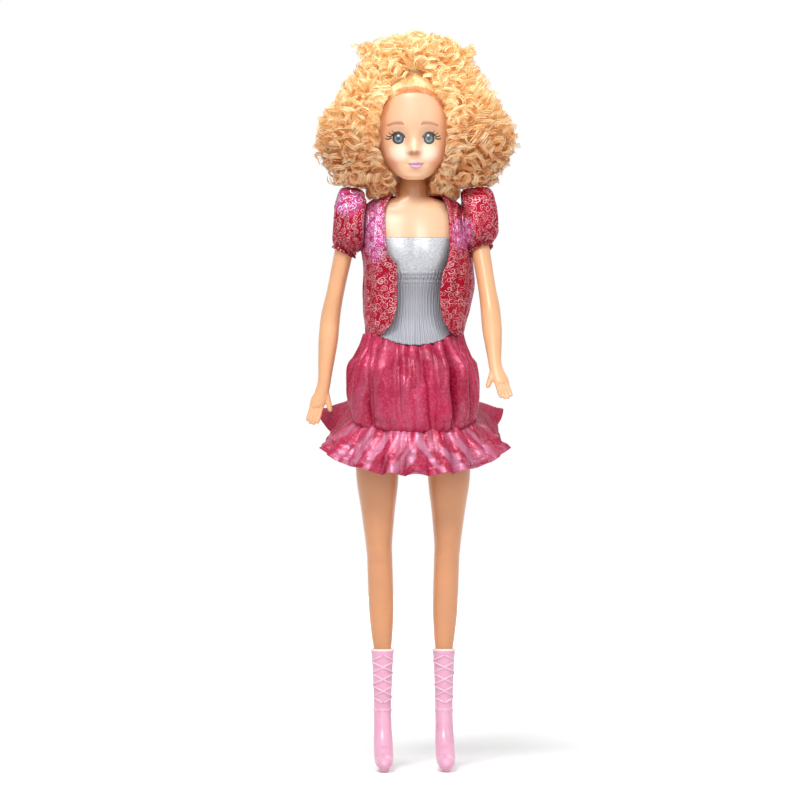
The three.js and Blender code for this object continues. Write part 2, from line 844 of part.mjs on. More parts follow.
for (const [name, side] of Object.entries(sides)) {
  const pose = armPose[name];
  const group = new THREE.Group();
  group.position.set(side * shoulderCentre, 0, shoulderZ);
  group.rotation.x = -rad(pose.swingDeg);
  doll.add(group);
  const arm = join(armOf(side, pose.splayDeg), armPeg(side));
  add(`${name}_arm`, arm, "skin", group);

  // The cuff's axis follows the upper arm, which leans out by its own slope and its splay
  const lean = [0, -side * (upperArmSlopeDeg + pose.splayDeg), 0];
  const bore = upperArmRadius + restGap;
  const rim = bore + cuffThickness;
  const along = (radius, low, high) => rodAlongZ(radius, radius, 0, 0, low, high).rotate(lean);
  const hole = along(rim + restGap, -sleeveRadius - cutOverrun, -shoulderBallRadius);
  const cuff = along(rim, -sleeveRadius - cuffHeight / 2, cuffHeight / 2 - sleeveRadius);
  add(`${name}_sleeve`, sleeveOf(side).subtract(hole), "jacket", group);
  add(
    `${name}_cuff_elastic`,
    cut(cuff, along(bore, -upperArm, 0), arm),
    "jacket",
    group,
  );
}

// Legs: one moulding each from the hip ball to the toes, with the foot arched for heels

function bootKeys(inset) {
  const w = (value) => value - inset;
  const toe = (share) => ballReach + (footReach - ballReach) * share;
  return [
    round(bootHeight, shinHalfWidth + bootWall + restGap - inset),
    {
      z: (bootHeight + ankleHeight) / 2,
      wide: w((shinHalfWidth + ankleHalfWidth + bootWall) / 2),
      front: w(ankleFront),
      back: w(ankleBack * 1.06),
    },
    { z: ankleHeight, pitch: -5, wide: w(ankleHalfWidth), front: w(ankleFront), back: w(ankleBack) },
    {
      z: ankleHeight * 0.72,
      y: -ballReach * 0.2,
      pitch: -25,
      wide: w(ankleHalfWidth),
      front: w(ankleFront),
      back: w(ankleBack * 1.08),
    },
    {
      z: ankleHeight * 0.44,
      y: -ballReach * 0.57,
      pitch: -36,
      wide: w(footHalfWidth),
      front: w(footHalfDepth),
      back: w(footHalfDepth),
    },
    {
      z: footHalfDepth + soleThickness + ankleHeight * 0.07,
      y: -toe(0.02),
      pitch: -58,
      wide: w(footHalfWidth),
      front: w(footHalfDepth),
      back: w(footHalfDepth * 0.96),
    },
    {
      z: footHalfDepth * 0.88 + soleThickness,
      y: -toe(0.4),
      pitch: -84,
      wide: w(footHalfWidth * 0.94),
      front: w(footHalfDepth * 0.86),
      back: w(footHalfDepth * 0.88),
    },
    {
      z: footHalfDepth * 0.75 + soleThickness,
      y: -toe(0.8),
      pitch: -90,
      wide: w(footHalfWidth * 0.72),
      front: w(footHalfDepth * 0.7),
      back: w(footHalfDepth * 0.74),
    },
    {
      z: footHalfDepth * 0.62 + soleThickness,
      y: -toe(1) + inset,
      pitch: -90,
      wide: footHalfWidth * 0.26,
      front: footHalfDepth * 0.2,
      back: footHalfDepth * 0.28,
    },
  ];
}

const legInset = bootWall + restGap;
const spread = (z) => {
  const share = Math.max(0, (z - kneeHeight) / (hipZ - kneeHeight));
  const low = Math.max(0, Math.min(1, (z - bootHeight) / (kneeHeight - bootHeight)));
  const below = footHalfSpacing + (kneeHalfSpacing - footHalfSpacing) * low;
  return z > kneeHeight
    ? kneeHalfSpacing + (hipHalfSpacing - kneeHalfSpacing) * share ** 0.6
    : below;
};
const thighDrop = hipZ - kneeHeight;
const legKeys = [
  { z: hipZ, wide: hipBallRadius * 0.8, front: hipBallRadius * 0.8, back: hipBallRadius * 0.8 },
  {
    z: hipZ - thighDrop * 0.12,
    wide: (hipBallRadius + thighHalfWidth) / 2,
    front: thighHalfDepth,
    back: thighHalfDepth,
  },
  { z: hipZ - thighDrop * 0.45, wide: thighHalfWidth, front: thighHalfDepth, back: thighHalfDepth },
  {
    z: hipZ - thighDrop * 0.75,
    wide: (thighHalfWidth + kneeHalfWidth) * 0.47,
    front: (thighHalfDepth + kneeHalfDepth) * 0.48,
    back: (thighHalfDepth + kneeHalfDepth) * 0.47,
  },
  { z: kneeHeight, wide: kneeHalfWidth, front: kneeHalfDepth, back: kneeHalfDepth * 0.9 },
  { z: calfHeight, wide: calfHalfWidth, front: calfFront, back: calfBack },
  {
    z: bootHeight + (calfHeight - bootHeight) * 0.3,
    wide: (calfHalfWidth + shinHalfWidth) * 0.49,
    front: (calfFront + shinHalfDepth) * 0.49,
    back: (calfBack + shinHalfDepth) * 0.46,
  },
];

function legOf(side) {
  const foot = bootKeys(legInset).slice(1);
  const shin = round(bootHeight, shinHalfWidth);
  const keys = smooth([...legKeys, shin, ...foot], 2);
  const placed = keys.map((k) => ({ ...k, x: side * spread(k.z) }));
  const inner = hipHalfSpacing - hipBallRadius;
  const flangeOut = socketFace - torsoWall - flangeInset;
  return join(
    loft(placed, limbSides, 2),
    ball(hipBallRadius, hipBallRadius, hipBallRadius, side * hipHalfSpacing, 0, hipZ),
    rodAlongX(
      pegRadius,
      side * (flangeOut - flangeThickness),
      side * (inner + hipBallRadius),
      0,
      hipZ,
    ),
    rodAlongX(flangeRadius, side * (flangeOut - flangeThickness), side * flangeOut, 0, hipZ),
  );
}

// Boots: soft vinyl over the foot, with a thin sole under the ball and toes and a high heel

function bootOf(side) {
  const at = (k) => ({ ...k, x: side * footHalfSpacing });
  const outside = smooth(bootKeys(0), 2).map(at);
  const insideKeys = smooth(bootKeys(bootWall), 2).map(at);
  const mouth = { ...insideKeys[0], z: bootHeight + cutOverrun };
  const middle = side * footHalfSpacing;
  const soleBack = -ballReach + soleLength * 0.2;
  const sole = ball(soleHalfWidth, soleLength / 2, soleThickness * 4, 0, 0, 0)
    .translate([middle, soleBack - soleLength / 2, soleThickness * 1.2])
    .intersect(
      block(-legLength, legLength, -legLength, legLength, 0, soleThickness * 2),
    );
  const heel = rodAlongZ(heelTipRadius, heelTopRadius, middle, heelBack, 0, heelTopHeight);
  return join(loft(outside, limbSides, 2), sole, heel).subtract(
    loft([mouth, ...insideKeys], limbSides, 2),
  );
}

for (const [name, side] of Object.entries(sides)) {
  add(`${name}_leg`, legOf(side), "skin");
  add(`${name}_boot`, bootOf(side), "boot");
}

// Dress: a silver bodice over the body, closed down the back, with the two-tier skirt sewn to it

const bodiceBottom = skirtSeamZ + waistElasticHeight / 2 + restGap;
const bodiceTop = bustZ + bodiceTopRise;
function worn(low, high, standOff, wall) {
  const keys = torsoSmooth.map((k) => grown(k, standOff));
  const band = block(-legLength, legLength, -legLength, legLength, low, high);
  return tube(keys, bodySides, wall).intersect(band);
}
const armholes = Object.values(sides).map((side) =>
  rodAlongX(
    sleeveRadius + restGap,
    side * (sleeveSeamOut - restGap),
    side * legLength,
    0,
    shoulderZ,
  ),
);
const closureSlot = block(
  -closureHalfWidth - restGap,
  closureHalfWidth + restGap,
  0,
  legLength,
  0,
  crownZ,
);
const bodice = cut(
  worn(bodiceBottom, bodiceTop, clothGap + clothThickness, clothThickness),
  closureSlot,
  ...armholes,
);
add("bodice", bodice, "silver");

// The back closes with two facing strips, loop on the underlap and hook on the overlap
const closureRoom = block(-closureHalfWidth, closureHalfWidth, 0, legLength, 0, crownZ);
["loop", "hook"].forEach((strip, i) => {
  const standOff = clothGap + closureThickness + i * (closureThickness + restGap);
  const band = worn(
    bodiceBottom + closureInset,
    bodiceTop - closureInset,
    standOff,
    closureThickness,
  );
  add(`closure_${strip}_strip`, band.intersect(closureRoom), "closure");
});

const elasticLow = skirtSeamZ - waistElasticHeight / 2;
const elasticHigh = skirtSeamZ + waistElasticHeight / 2;
add(
  "waist_elastic",
  worn(
    elasticLow,
    elasticHigh,
    clothGap + waistElasticThickness,
    waistElasticThickness,
  ),
  "satin",
);

const tierTop = elasticLow - restGap;
const tierBottom = skirtSeamZ - tierDrop;
const tierRise = tierTop - tierBottom;
const tierKeys = [
  { ...grown(bodyAt(tierTop), restGap + clothThickness), pitch: 0 },
  { ...grown(bodyAt(tierTop), tierTopFullness), z: tierTop - tierRise * 0.12, pitch: 1 },
  {
    z: tierTop - tierRise * 0.42,
    wide: tierHalfWidth * 0.97,
    front: tierHalfDepth * 0.96,
    back: tierHalfDepth * 0.98,
    pitch: seamTiltDeg * 0.35,
  },
  {
    z: tierTop - tierRise * 0.75,
    wide: tierHalfWidth,
    front: tierHalfDepth,
    back: tierHalfDepth,
    pitch: seamTiltDeg * 0.75,
  },
  {
    z: tierBottom,
    wide: tierEndHalfWidth,
    front: tierEndHalfDepth,
    back: tierEndHalfDepth,
    pitch: seamTiltDeg,
  },
];
const tierDepths = [0.3, 0.8, 1, 1, 0.8].map((share) => share * tierPleatDepth);
add("skirt_tier", tube(tierKeys, skirtSides, clothThickness, tierPleats, tierDepths), "satin");

const flounceTop = tierBottom - restGap;
const flounceKeys = [0, 0.3, 0.7, 1].map((share) => ({
  z: flounceTop - flounceDrop * share,
  wide: tierEndHalfWidth + (flounceHalfWidth - tierEndHalfWidth) * share ** 0.8,
  front: tierEndHalfDepth + (flounceHalfDepth - tierEndHalfDepth) * share ** 0.8,
  back: tierEndHalfDepth + (flounceHalfDepth - tierEndHalfDepth) * share ** 0.8,
  pitch: seamTiltDeg + (hemTiltDeg - seamTiltDeg) * share,
}));
const flounceDepths = [0.25, 0.6, 0.85, 1].map((share) => share * flouncePleatDepth);
add(
  "skirt_flounce",
  tube(flounceKeys, skirtSides, clothThickness, flouncePleats, flounceDepths),
  "satin",
);

// Jacket: its body is cut from one hanging shell into a back and two fronts

const jacketBottom = skirtSeamZ + jacketBottomRise;
const jacketKeys = smooth(
  [
    {
      z: jacketBottom,
      wide: jacketHemHalfWidth,
      front: jacketHemFront,
      back: jacketHemBack,
    },
    {
      z: waistZ + waistToBust * 0.2,
      wide: jacketWaistHalfWidth,
      front: jacketWaistFront,
      back: jacketWaistBack,
    },
    grown(bodyAt(bustZ), jacketBustStandOff + clothThickness),
    grown(bodyAt(shoulderZ), jacketShoulderStandOff + clothThickness),
    grown(bodyAt(neckBaseZ - shoulderTopDrop), jacketShoulderStandOff + clothThickness),
    {
      ...grown(bodyAt(neckBaseZ - shoulderTopDrop * 0.5), jacketShoulderStandOff),
      z: neckBaseZ - restGap,
    },
  ],
  2,
);
const jacketShell = tube(jacketKeys, bodySides, clothThickness);
const neckOpening = rodAlongZ(1, 1, 0, 0, bustZ, crownZ)
  .scale([neckOpeningHalfWidth, neckOpeningDepth, 1])
  .translate([0, -neckOpeningDepth / 2, 0]);
const openingShape = new THREE.Shape();
openingShape.moveTo(-frontHemHalfWidth, jacketBottom - cutOverrun);
openingShape.lineTo(frontHemHalfWidth, jacketBottom - cutOverrun);
openingShape.bezierCurveTo(
  frontWaistGapHalfWidth,
  jacketBottom + jacketHemBack * 0.6,
  frontWaistGapHalfWidth,
  waistZ,
  frontWaistGapHalfWidth,
  bustZ - waistToBust * 0.2,
);
openingShape.quadraticCurveTo(
  frontOpeningHalfWidth,
  bustZ - waistToBust * 0.15,
  frontOpeningHalfWidth,
  bustZ + bodiceTopRise / 2,
);
openingShape.lineTo(neckOpeningHalfWidth, crownZ);
openingShape.lineTo(-neckOpeningHalfWidth, crownZ);
openingShape.lineTo(-frontOpeningHalfWidth, bustZ + bodiceTopRise / 2);
openingShape.quadraticCurveTo(
  -frontOpeningHalfWidth,
  bustZ - waistToBust * 0.15,
  -frontWaistGapHalfWidth,
  bustZ - waistToBust * 0.2,
);
openingShape.bezierCurveTo(
  -frontWaistGapHalfWidth,
  waistZ,
  -frontWaistGapHalfWidth,
  jacketBottom + jacketHemBack * 0.6,
  -frontHemHalfWidth,
  jacketBottom - cutOverrun,
);
const frontOpening = prismAlongY(openingShape, -legLength, 0);
const jacket = cut(jacketShell, neckOpening, frontOpening, ...armholes);
add(
  "jacket_back",
  jacket.intersect(block(-legLength, legLength, restGap / 2, legLength, 0, crownZ)),
  "jacket",
);
for (const [name, side] of Object.entries(sides)) {
  const [low, high] = side > 0 ? [0, legLength] : [-legLength, 0];
  add(
    `jacket_front_${name}`,
    jacket.intersect(block(low, high, -legLength, -restGap / 2, 0, crownZ)),
    "jacket",
  );
}

// The origin is on the floor, under the middle of the whole doll
const extent = new THREE.Box3().setFromObject(doll);
const middle = extent.getCenter(new THREE.Vector3());
doll.position.set(-middle.x, -middle.y, -extent.min.z);

export default doll;
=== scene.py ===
# %% [markdown]
# # A dressed fashion doll, one piece at a time
# The doll is 309 mm tall with its hair. It is moulded in vinyl, has rooted curly hair, and wears a silver
# bodice, a pink skirt in two tiers, a short printed jacket and soft boots. Each section makes one of
# those pieces in millimetres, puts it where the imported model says, and gives it a finish.

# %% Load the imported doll
import math
from math import pi, radians, tan

import bmesh
import bpy
import numpy as np
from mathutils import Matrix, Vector
from mathutils.bvhtree import BVHTree
from numpy import arange, array, asarray, clip, concatenate, cos, cross, diff, gradient, interp, linspace, sin, zeros


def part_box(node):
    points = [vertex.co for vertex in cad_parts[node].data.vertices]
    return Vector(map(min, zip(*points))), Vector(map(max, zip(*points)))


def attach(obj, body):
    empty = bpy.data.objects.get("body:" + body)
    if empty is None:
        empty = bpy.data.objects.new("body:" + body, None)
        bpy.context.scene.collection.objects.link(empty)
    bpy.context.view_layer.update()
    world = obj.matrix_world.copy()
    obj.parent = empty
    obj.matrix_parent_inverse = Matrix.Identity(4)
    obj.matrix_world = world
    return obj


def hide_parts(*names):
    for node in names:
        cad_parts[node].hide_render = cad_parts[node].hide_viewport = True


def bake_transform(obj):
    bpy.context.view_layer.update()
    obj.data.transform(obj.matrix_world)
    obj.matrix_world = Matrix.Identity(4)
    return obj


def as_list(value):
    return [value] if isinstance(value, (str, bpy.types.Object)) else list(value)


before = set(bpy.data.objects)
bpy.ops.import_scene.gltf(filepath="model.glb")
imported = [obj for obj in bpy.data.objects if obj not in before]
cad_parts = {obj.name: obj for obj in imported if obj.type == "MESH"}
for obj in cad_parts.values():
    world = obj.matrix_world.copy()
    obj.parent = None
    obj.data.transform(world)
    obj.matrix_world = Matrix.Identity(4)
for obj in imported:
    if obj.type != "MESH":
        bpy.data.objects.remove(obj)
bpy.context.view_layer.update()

# %% [markdown]
# ## The doll's own measure
# Every point is counted from the doll's middle line. The round neck peg stands on that line, so its box
# gives the line's place.

# %% Millimetres round the middle line, to metres in the frame
MM = 0.001
peg_low, peg_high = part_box("neck_peg")
MIDDLE = array([(peg_low.x + peg_high.x) / 2, (peg_low.y + peg_high.y) / 2, 0.0])
SIDES = {"right": -1, "left": 1}  # the doll faces -Y, so its left is +X


def place(points):
    return asarray(points, float) * MM + MIDDLE


print("middle line at", [round(v, 5) for v in MIDDLE[:2]])

# %% [markdown]
# ## The camera
# The photograph is taken from straight ahead and far off, so the lens is long and some way back. The doll
# is turned three degrees in it, so here the camera walks three degrees round.

# %% Set up the camera
PHOTO_WIDTH_PX = 800
PX = 0.42  # millimetres of doll in one pixel of the photograph
FLOOR_PX, AXIS_PX = 768, 413.2
CAMERA_DISTANCE = 1.7
CAMERA_TURN = radians(-3)

view_height = (FLOOR_PX - PHOTO_WIDTH_PX / 2) * PX * MM
aside = (PHOTO_WIDTH_PX / 2 - AXIS_PX) * PX * MM
right_of_view = Vector((math.cos(CAMERA_TURN), math.sin(CAMERA_TURN), 0))
back_of_view = Vector((math.sin(CAMERA_TURN), -math.cos(CAMERA_TURN), 0))
aim = Vector(MIDDLE) + Vector((0, 0, view_height)) + right_of_view * aside


def put_in_scene(thing, at, back):
    """A camera or lamp looks along its own -Z, so it is turned by the way behind it."""
    thing.location, thing.rotation_mode = at, "QUATERNION"
    thing.rotation_quaternion = back.to_track_quat("Z", "Y")
    bpy.context.scene.collection.objects.link(thing)


camera_data = bpy.data.cameras.new("camera")
camera_data.lens = camera_data.sensor_width * CAMERA_DISTANCE / (PHOTO_WIDTH_PX * PX * MM)
camera_data.clip_start, camera_data.clip_end = 0.05, 20
camera = bpy.data.objects.new("camera", camera_data)
put_in_scene(camera, aim + back_of_view * CAMERA_DISTANCE, back_of_view)
bpy.context.scene.camera = camera
bpy.context.scene.view_settings.view_transform = "Standard"
print("lens", round(camera_data.lens, 1), "mm")

# %% [markdown]
# ## Building nodes with less typing
# A finish is a tree of nodes, and TREE is the one being built. A wire stands for one output of a node, and
# a sum such as a * 2 + b adds the Math nodes for it, so that each finish reads like a recipe.

# %% Wires and nodes
TREE = None


class Wire:
    """One output of a node, which can be added, subtracted, multiplied and divided."""

    def __init__(self, socket):
        self.socket = socket


def plug(value, socket):
    """Joins a wire to a socket, or sets the socket to a plain value."""
    if isinstance(value, Wire):
        TREE.links.new(value.socket, socket)
    else:
        socket.default_value = (*value[:3], 1) if socket.type == "RGBA" else value


def node(kind, inputs=None, **settings):
    """Adds a node and returns its wires, by number and by name."""
    made = TREE.nodes.new(kind)
    for name, value in settings.items():
        setattr(made, name, value)
    for name, value in (inputs or {}).items():
        plug(value, made.inputs[name])
    wires = [Wire(socket) for socket in made.outputs]
    return dict(enumerate(wires)) | {wire.socket.name: wire for wire in reversed(wires)}


def calc(operation, *values):
    """A Math node, or a Vector Math node where one of the values is a vector or colour."""
    kinds = [value.socket.type for value in values if isinstance(value, Wire)]
    kind = "ShaderNodeVectorMath" if "VECTOR" in kinds or "RGBA" in kinds else "ShaderNodeMath"
    return node(kind, dict(enumerate(values)), operation=operation)[operation == "LENGTH"]


for sign, operation in {"add": "ADD", "sub": "SUBTRACT", "mul": "MULTIPLY", "truediv": "DIVIDE"}.items():
    setattr(Wire, f"__{sign}__", lambda wire, other, how=operation: calc(how, wire, other))
    setattr(Wire, f"__r{sign}__", lambda wire, other, how=operation: calc(how, other, wire))


# %% The nodes that most finishes use
def split(wire):
    """The three parts of a vector or colour."""
    made = node("ShaderNodeSeparateColor" if wire.socket.type == "RGBA" else "ShaderNodeSeparateXYZ", {0: wire})
    return made[0], made[1], made[2]


def mix(share, low, high, blend="MIX"):
    return node("ShaderNodeMix", {6: low, 7: high, 0: share}, data_type="RGBA", blend_type=blend)[2]


def spread(value, low, high, to_low=0.0, to_high=1.0, how="SMOOTHSTEP"):
    """Carries the range from low to high over to another range, smoothly."""
    ends = {"Value": value, "From Min": low, "From Max": high, "To Min": to_low, "To Max": to_high}
    return node("ShaderNodeMapRange", ends, interpolation_type=how)[0]


def noise(where, scale, detail=2.0, roughness=0.5):
    return node("ShaderNodeTexNoise", {"Vector": where, "Scale": scale, "Detail": detail, "Roughness": roughness})[0]


def cells(where, scale, **more):
    return node("ShaderNodeTexVoronoi", {"Vector": where, "Scale": scale, **more}, voronoi_dimensions="2D")


def ramp(value, first, last, *stops):
    """A colour ramp; every stop is a place and a colour."""
    made = node("ShaderNodeValToRGB", {0: value})[0]
    elements = made.socket.node.color_ramp.elements
    for element, (at, colour) in zip(elements, (first, last)):
        element.position, element.color = at, (*colour, 1)
    for at, colour in stops:
        elements.new(at).color = (*colour, 1)
    return made


def on_piece():
    """A place in the doll's own space, in metres."""
    return node("ShaderNodeTexCoord")["Object"]


def on_cloth():
    """A place in the flat cloth, in millimetres."""
    return node("ShaderNodeUVMap", uv_map="flat")[0]


def out_of_middle(x, lean=0.0):
    """How far the place x is from the doll's middle line."""
    return x - (float(MIDDLE[0]) + lean * MM)


def bump(height, depth, strength=1.0, **more):
    return node("ShaderNodeBump", {"Height": height, "Distance": depth, "Strength": strength, **more})[0]


# %% [markdown]
# ## Effects that several finishes share
# Grain, threads and streaks are each built once as a node group, and each finish places the group with its
# own values. A group gives out heights, masks and colours, and the shader stays in the finish.

# %% A maker of shared effects
def effect(name, **inputs):
    """Turns the recipe below it into a node group, and into a helper that places the group."""
    def build_group(recipe):
        global TREE
        group = TREE = bpy.data.node_groups.new(name, "ShaderNodeTree")
        for socket, value in inputs.items():
            kind = {float: "NodeSocketFloat", tuple: "NodeSocketColor"}.get(type(value), "NodeSocketVector")
            made = group.interface.new_socket(socket.replace("_", " "), in_out="INPUT", socket_type=kind)
            if value is not None:
                made.default_value = value
        given = node("NodeGroupInput")
        results = recipe(*(given[i] for i in range(len(inputs))))
        for socket, wire in results.items():
            kind = "NodeSocketColor" if wire.socket.type == "RGBA" else "NodeSocketFloat"
            group.interface.new_socket(socket, in_out="OUTPUT", socket_type=kind)
        last = group.nodes.new("NodeGroupOutput")
        for socket, wire in results.items():
            plug(wire, last.inputs[socket])
        return lambda **values: node(
            "ShaderNodeGroup", {socket.replace("_", " "): value for socket, value in values.items()}, node_tree=group)
    return build_group


# %% Grain, threads, creases and streaks
@effect("moulded grain", Where=None, Scale=900.0, Colour=(0.5, 0.5, 0.5, 1.0), Strength=1.0, Roughness=0.4)
def grain_of(where, scale, colour, strength, roughness):
    """Faint mottling of colour and gloss on any plastic."""
    broad, fine = noise(where, scale * 0.08, 3), noise(where, scale, 2)
    tint = mix(spread(broad, 0.3, 0.7), (0.94, 0.94, 0.94), (1.05, 1.05, 1.05))
    gloss = roughness + spread(broad, 0.3, 0.7, -0.05, 0.05)
    return {"Colour": mix(strength, colour, tint, "MULTIPLY"), "Roughness": gloss, "Height": fine}


@effect("cloth threads", Where=None, Threads_per_mm=2.4)
def threads_of(where, threads):
    """A fine over-and-under weave in the cloth's own flat measure."""
    across, down, _ = split(where)
    woven = calc("SINE", across * threads * (2 * pi)) * calc("SINE", down * threads * (2 * pi))
    return {"Height": woven * 0.5 + noise(where, 0.9, 3)}


@effect("soft creases", Where=None, Scale=0.25)
def creases_of(where, scale):
    """The small irregular puckers of handled cloth."""
    drift = node("ShaderNodeTexNoise", {"Vector": where, "Scale": scale})[1]
    bent = where + node("ShaderNodeVectorMath", {0: drift, "Scale": 2.2}, operation="SCALE")[0]
    return {"Height": calc("ABSOLUTE", noise(bent, scale, 2, 0.45) - 0.5) * -2.0}


@effect("fibre streaks", Where=None, Fineness=14.0)
def streaks_of(where, fineness):
    """Fine lines that run along a lock of hair, and a shade for each lock."""
    along, across, _ = split(where)
    lines = noise(node("ShaderNodeCombineXYZ", {0: along * 0.35, 1: across * fineness})[0], 1.0, 3, 0.6)
    lock = node("ShaderNodeTexWhiteNoise", {"W": calc("FLOOR", across)}, noise_dimensions="1D")[0]
    return {"Shade": lines + (lock - 0.5) * 0.5, "Height": lines}


# %% [markdown]
# ## The finishes
# Plastics read their place from the piece itself. Cloth reads it from the flat measure in millimetres
# that each garment carries, so that a thread is the same size everywhere.

# %% Start a finish
def feed(shader, **sockets):
    for name, value in sockets.items():
        plug(value, shader.inputs[name.replace("_", " ")])


def finish(name, **sockets):
    global TREE
    made = bpy.data.materials.new(name)
    made.use_nodes = True
    TREE = made.node_tree
    shader = TREE.nodes["Principled BSDF"]
    feed(shader, **sockets)
    return made, shader


# %% Doll vinyl: warm, slightly translucent, with a soft shine
SKIN = (0.87, 0.53, 0.325)
# the third colour is painted shade, for the neck under the chin
ARM_SKIN, LEG_SKIN, NECK_PAINTED_SHADE = (0.83, 0.435, 0.222), (0.71, 0.32, 0.150), (0.53, 0.23, 0.100)


def plastic(name, colour, roughness, scale=1200.0, strength=0.7, relief=0.3, painted_glow_of=None, **sockets):
    """colour and painted_glow_of may be a recipe that takes the place on the piece."""
    made, shader = finish(name, **sockets)
    where = on_piece()
    if painted_glow_of:  # painted glow, standing in for light that the hair round the face passes on to its sides
        feed(shader, Emission_Color=(1.0, 0.50, 0.30), Emission_Strength=painted_glow_of(where))
    colour = colour(where) if callable(colour) else colour
    grain = grain_of(Where=where, Scale=scale, Colour=colour, Strength=strength, Roughness=roughness)
    normal = bump(grain["Height"], 0.00003, relief)
    feed(shader, Base_Color=grain["Colour"], Roughness=grain["Roughness"], Normal=normal)
    return made


def vinyl(name, colour, painted_glow_of=None):
    return plastic(
        name, colour, 0.38, 900.0, 0.6, 0.35, painted_glow_of, Coat_Weight=0.12, Coat_Roughness=0.28,
        Subsurface_Weight=0.12, Subsurface_Scale=0.004, Subsurface_Radius=(1.0, 0.45, 0.25),
    )


def painted_neck_shade(where):
    """Painted shade: the torso is darker up the neck, under the chin, where the head shades it."""
    return mix(spread(split(where)[2], 0.234, 0.242), SKIN, NECK_PAINTED_SHADE)


skin_finish = vinyl("doll vinyl", painted_neck_shade)
arm_finish, leg_finish = vinyl("arm vinyl", ARM_SKIN), vinyl("leg vinyl", LEG_SKIN)


# %% Soft boot vinyl and the peg's harder plastic
boot_finish = plastic(
    "pink boot vinyl", (0.85, 0.405, 0.575), 0.3, Coat_Weight=0.3, Coat_Roughness=0.18,
    Subsurface_Weight=0.1, Subsurface_Scale=0.003,
)
# painted highlight: the laces are moulded in the boot's own vinyl, made paler here for the light along their ridges
painted_highlight_lace_finish = plastic("paler boot vinyl", (0.91, 0.57, 0.70), 0.26, Coat_Weight=0.35, Coat_Roughness=0.15)
rim_finish = plastic("pale boot rim", (0.95, 0.80, 0.83), 0.4)
peg_finish = plastic("hard peg plastic", (0.8, 0.75, 0.66), 0.45)
print("plastics:", skin_finish.name, boot_finish.name, peg_finish.name)


# %% [markdown]
# ## Cloth finishes
# The skirt is a shiny satin with a painted pale lilac sheen on its front, and the bodice is a knit with a
# silver thread. The jacket has a pink ground with small curls printed on it in silver foil.

# %% Pink satin
def relief_of(where, crease_scale, creases, threads_per_mm, threads):
    """The height of soft creases and woven threads together."""
    puckered = creases_of(Where=where, Scale=crease_scale)["Height"]
    return puckered * creases + threads_of(Where=where, Threads_per_mm=threads_per_mm)["Height"] * threads


def satin(name, painted_sheen):
    """Shiny satin; painted_sheen is how much pale lilac sheen is painted on its front, in long patches."""
    made, shader = finish(
        name, Sheen_Weight=0.03, Sheen_Roughness=0.4, Sheen_Tint=(1.0, 0.62, 0.86), Specular_IOR_Level=0.35,
        Specular_Tint=(1.0, 0.82, 0.98), Coat_Weight=0.15, Coat_Roughness=0.15,
    )
    where = on_cloth()
    spark, gloss, grit = split(cells(where, 2.3)["Color"])
    glitter = spread(spark, 0.62, 0.98)
    colour = mix(spread(noise(where, 0.05), 0.35, 0.65), (0.33, 0.003, 0.032), (0.45, 0.005, 0.056))
    colour = mix(glitter * 0.16, colour, (0.80, 0.30, 0.50))
    # painted sheen: pale lilac patches on the skirt's front, in place of reflected light
    front = spread(split(on_piece())[1], 0.004, -0.010, 0.0, painted_sheen)
    lilac = spread(noise(where * (0.17, 0.05, 0.0), 1.0, 2, 0.55), 0.44, 0.62) * front
    height = relief_of(where, 0.12, 5.5, 2.6, 0.25) + grit * 0.45
    feed(
        shader, Base_Color=mix(lilac, colour, (0.66, 0.33, 0.50)),
        Roughness=spread(gloss, 0.0, 1.0, 0.36, 0.24, "LINEAR"),
        Metallic=spread(calc("MAXIMUM", glitter, lilac), 0.0, 1.0, 0.12, 0.34), Normal=bump(height, 0.00009, 0.8),
    )
    return made


satin_finish = satin("pink satin", 0.10)
# the flounce has more of the painted lilac sheen than the tier
flounce_finish = satin("pink satin, pale side up", 0.50)


# %% Silver knit: fine upright ribs below, glitter thread above
KNIT_TOP_MM = 33.0  # where the smooth glitter section starts, above the hem
RIB_MM, LOOP_MM = 0.72, 0.55  # widths of an upright rib and of a row of loops


def knit(name):
    made, shader = finish(name, Specular_IOR_Level=0.6, Sheen_Weight=0.2, Sheen_Roughness=0.4)
    where = on_cloth()
    across, down, _ = split(where)
    rib = calc("SINE", (across + noise(where, 0.25) * 0.9) * (2 * pi / RIB_MM))
    loops = calc("SINE", down * (2 * pi / LOOP_MM))
    above = spread(down, KNIT_TOP_MM - 2, KNIT_TOP_MM + 2)
    spark, grit, _ = split(cells(where, 3.4)["Color"])
    glint = spread(spark, 0.55, 0.95)
    # painted shade: darker down the grooves between the ribs
    grey = mix(spread(rib, -1.0, 1.0), (0.285, 0.29, 0.33), (0.395, 0.40, 0.45))
    bright = mix(glint, (0.46, 0.47, 0.50), (0.62, 0.63, 0.66))
    height = node("ShaderNodeMix", {0: above, 2: rib + loops * 0.45, 3: grit * 1.6}, data_type="FLOAT")[0]
    feed(
        shader, Base_Color=mix(above, grey, bright), Roughness=spread(glint * above, 0.0, 1.0, 0.5, 0.42),
        Metallic=spread(above, 0.0, 1.0, 0.25, 0.4), Normal=bump(height, 0.00006, 0.7),
    )
    return made


knit_finish = knit("silver knit")


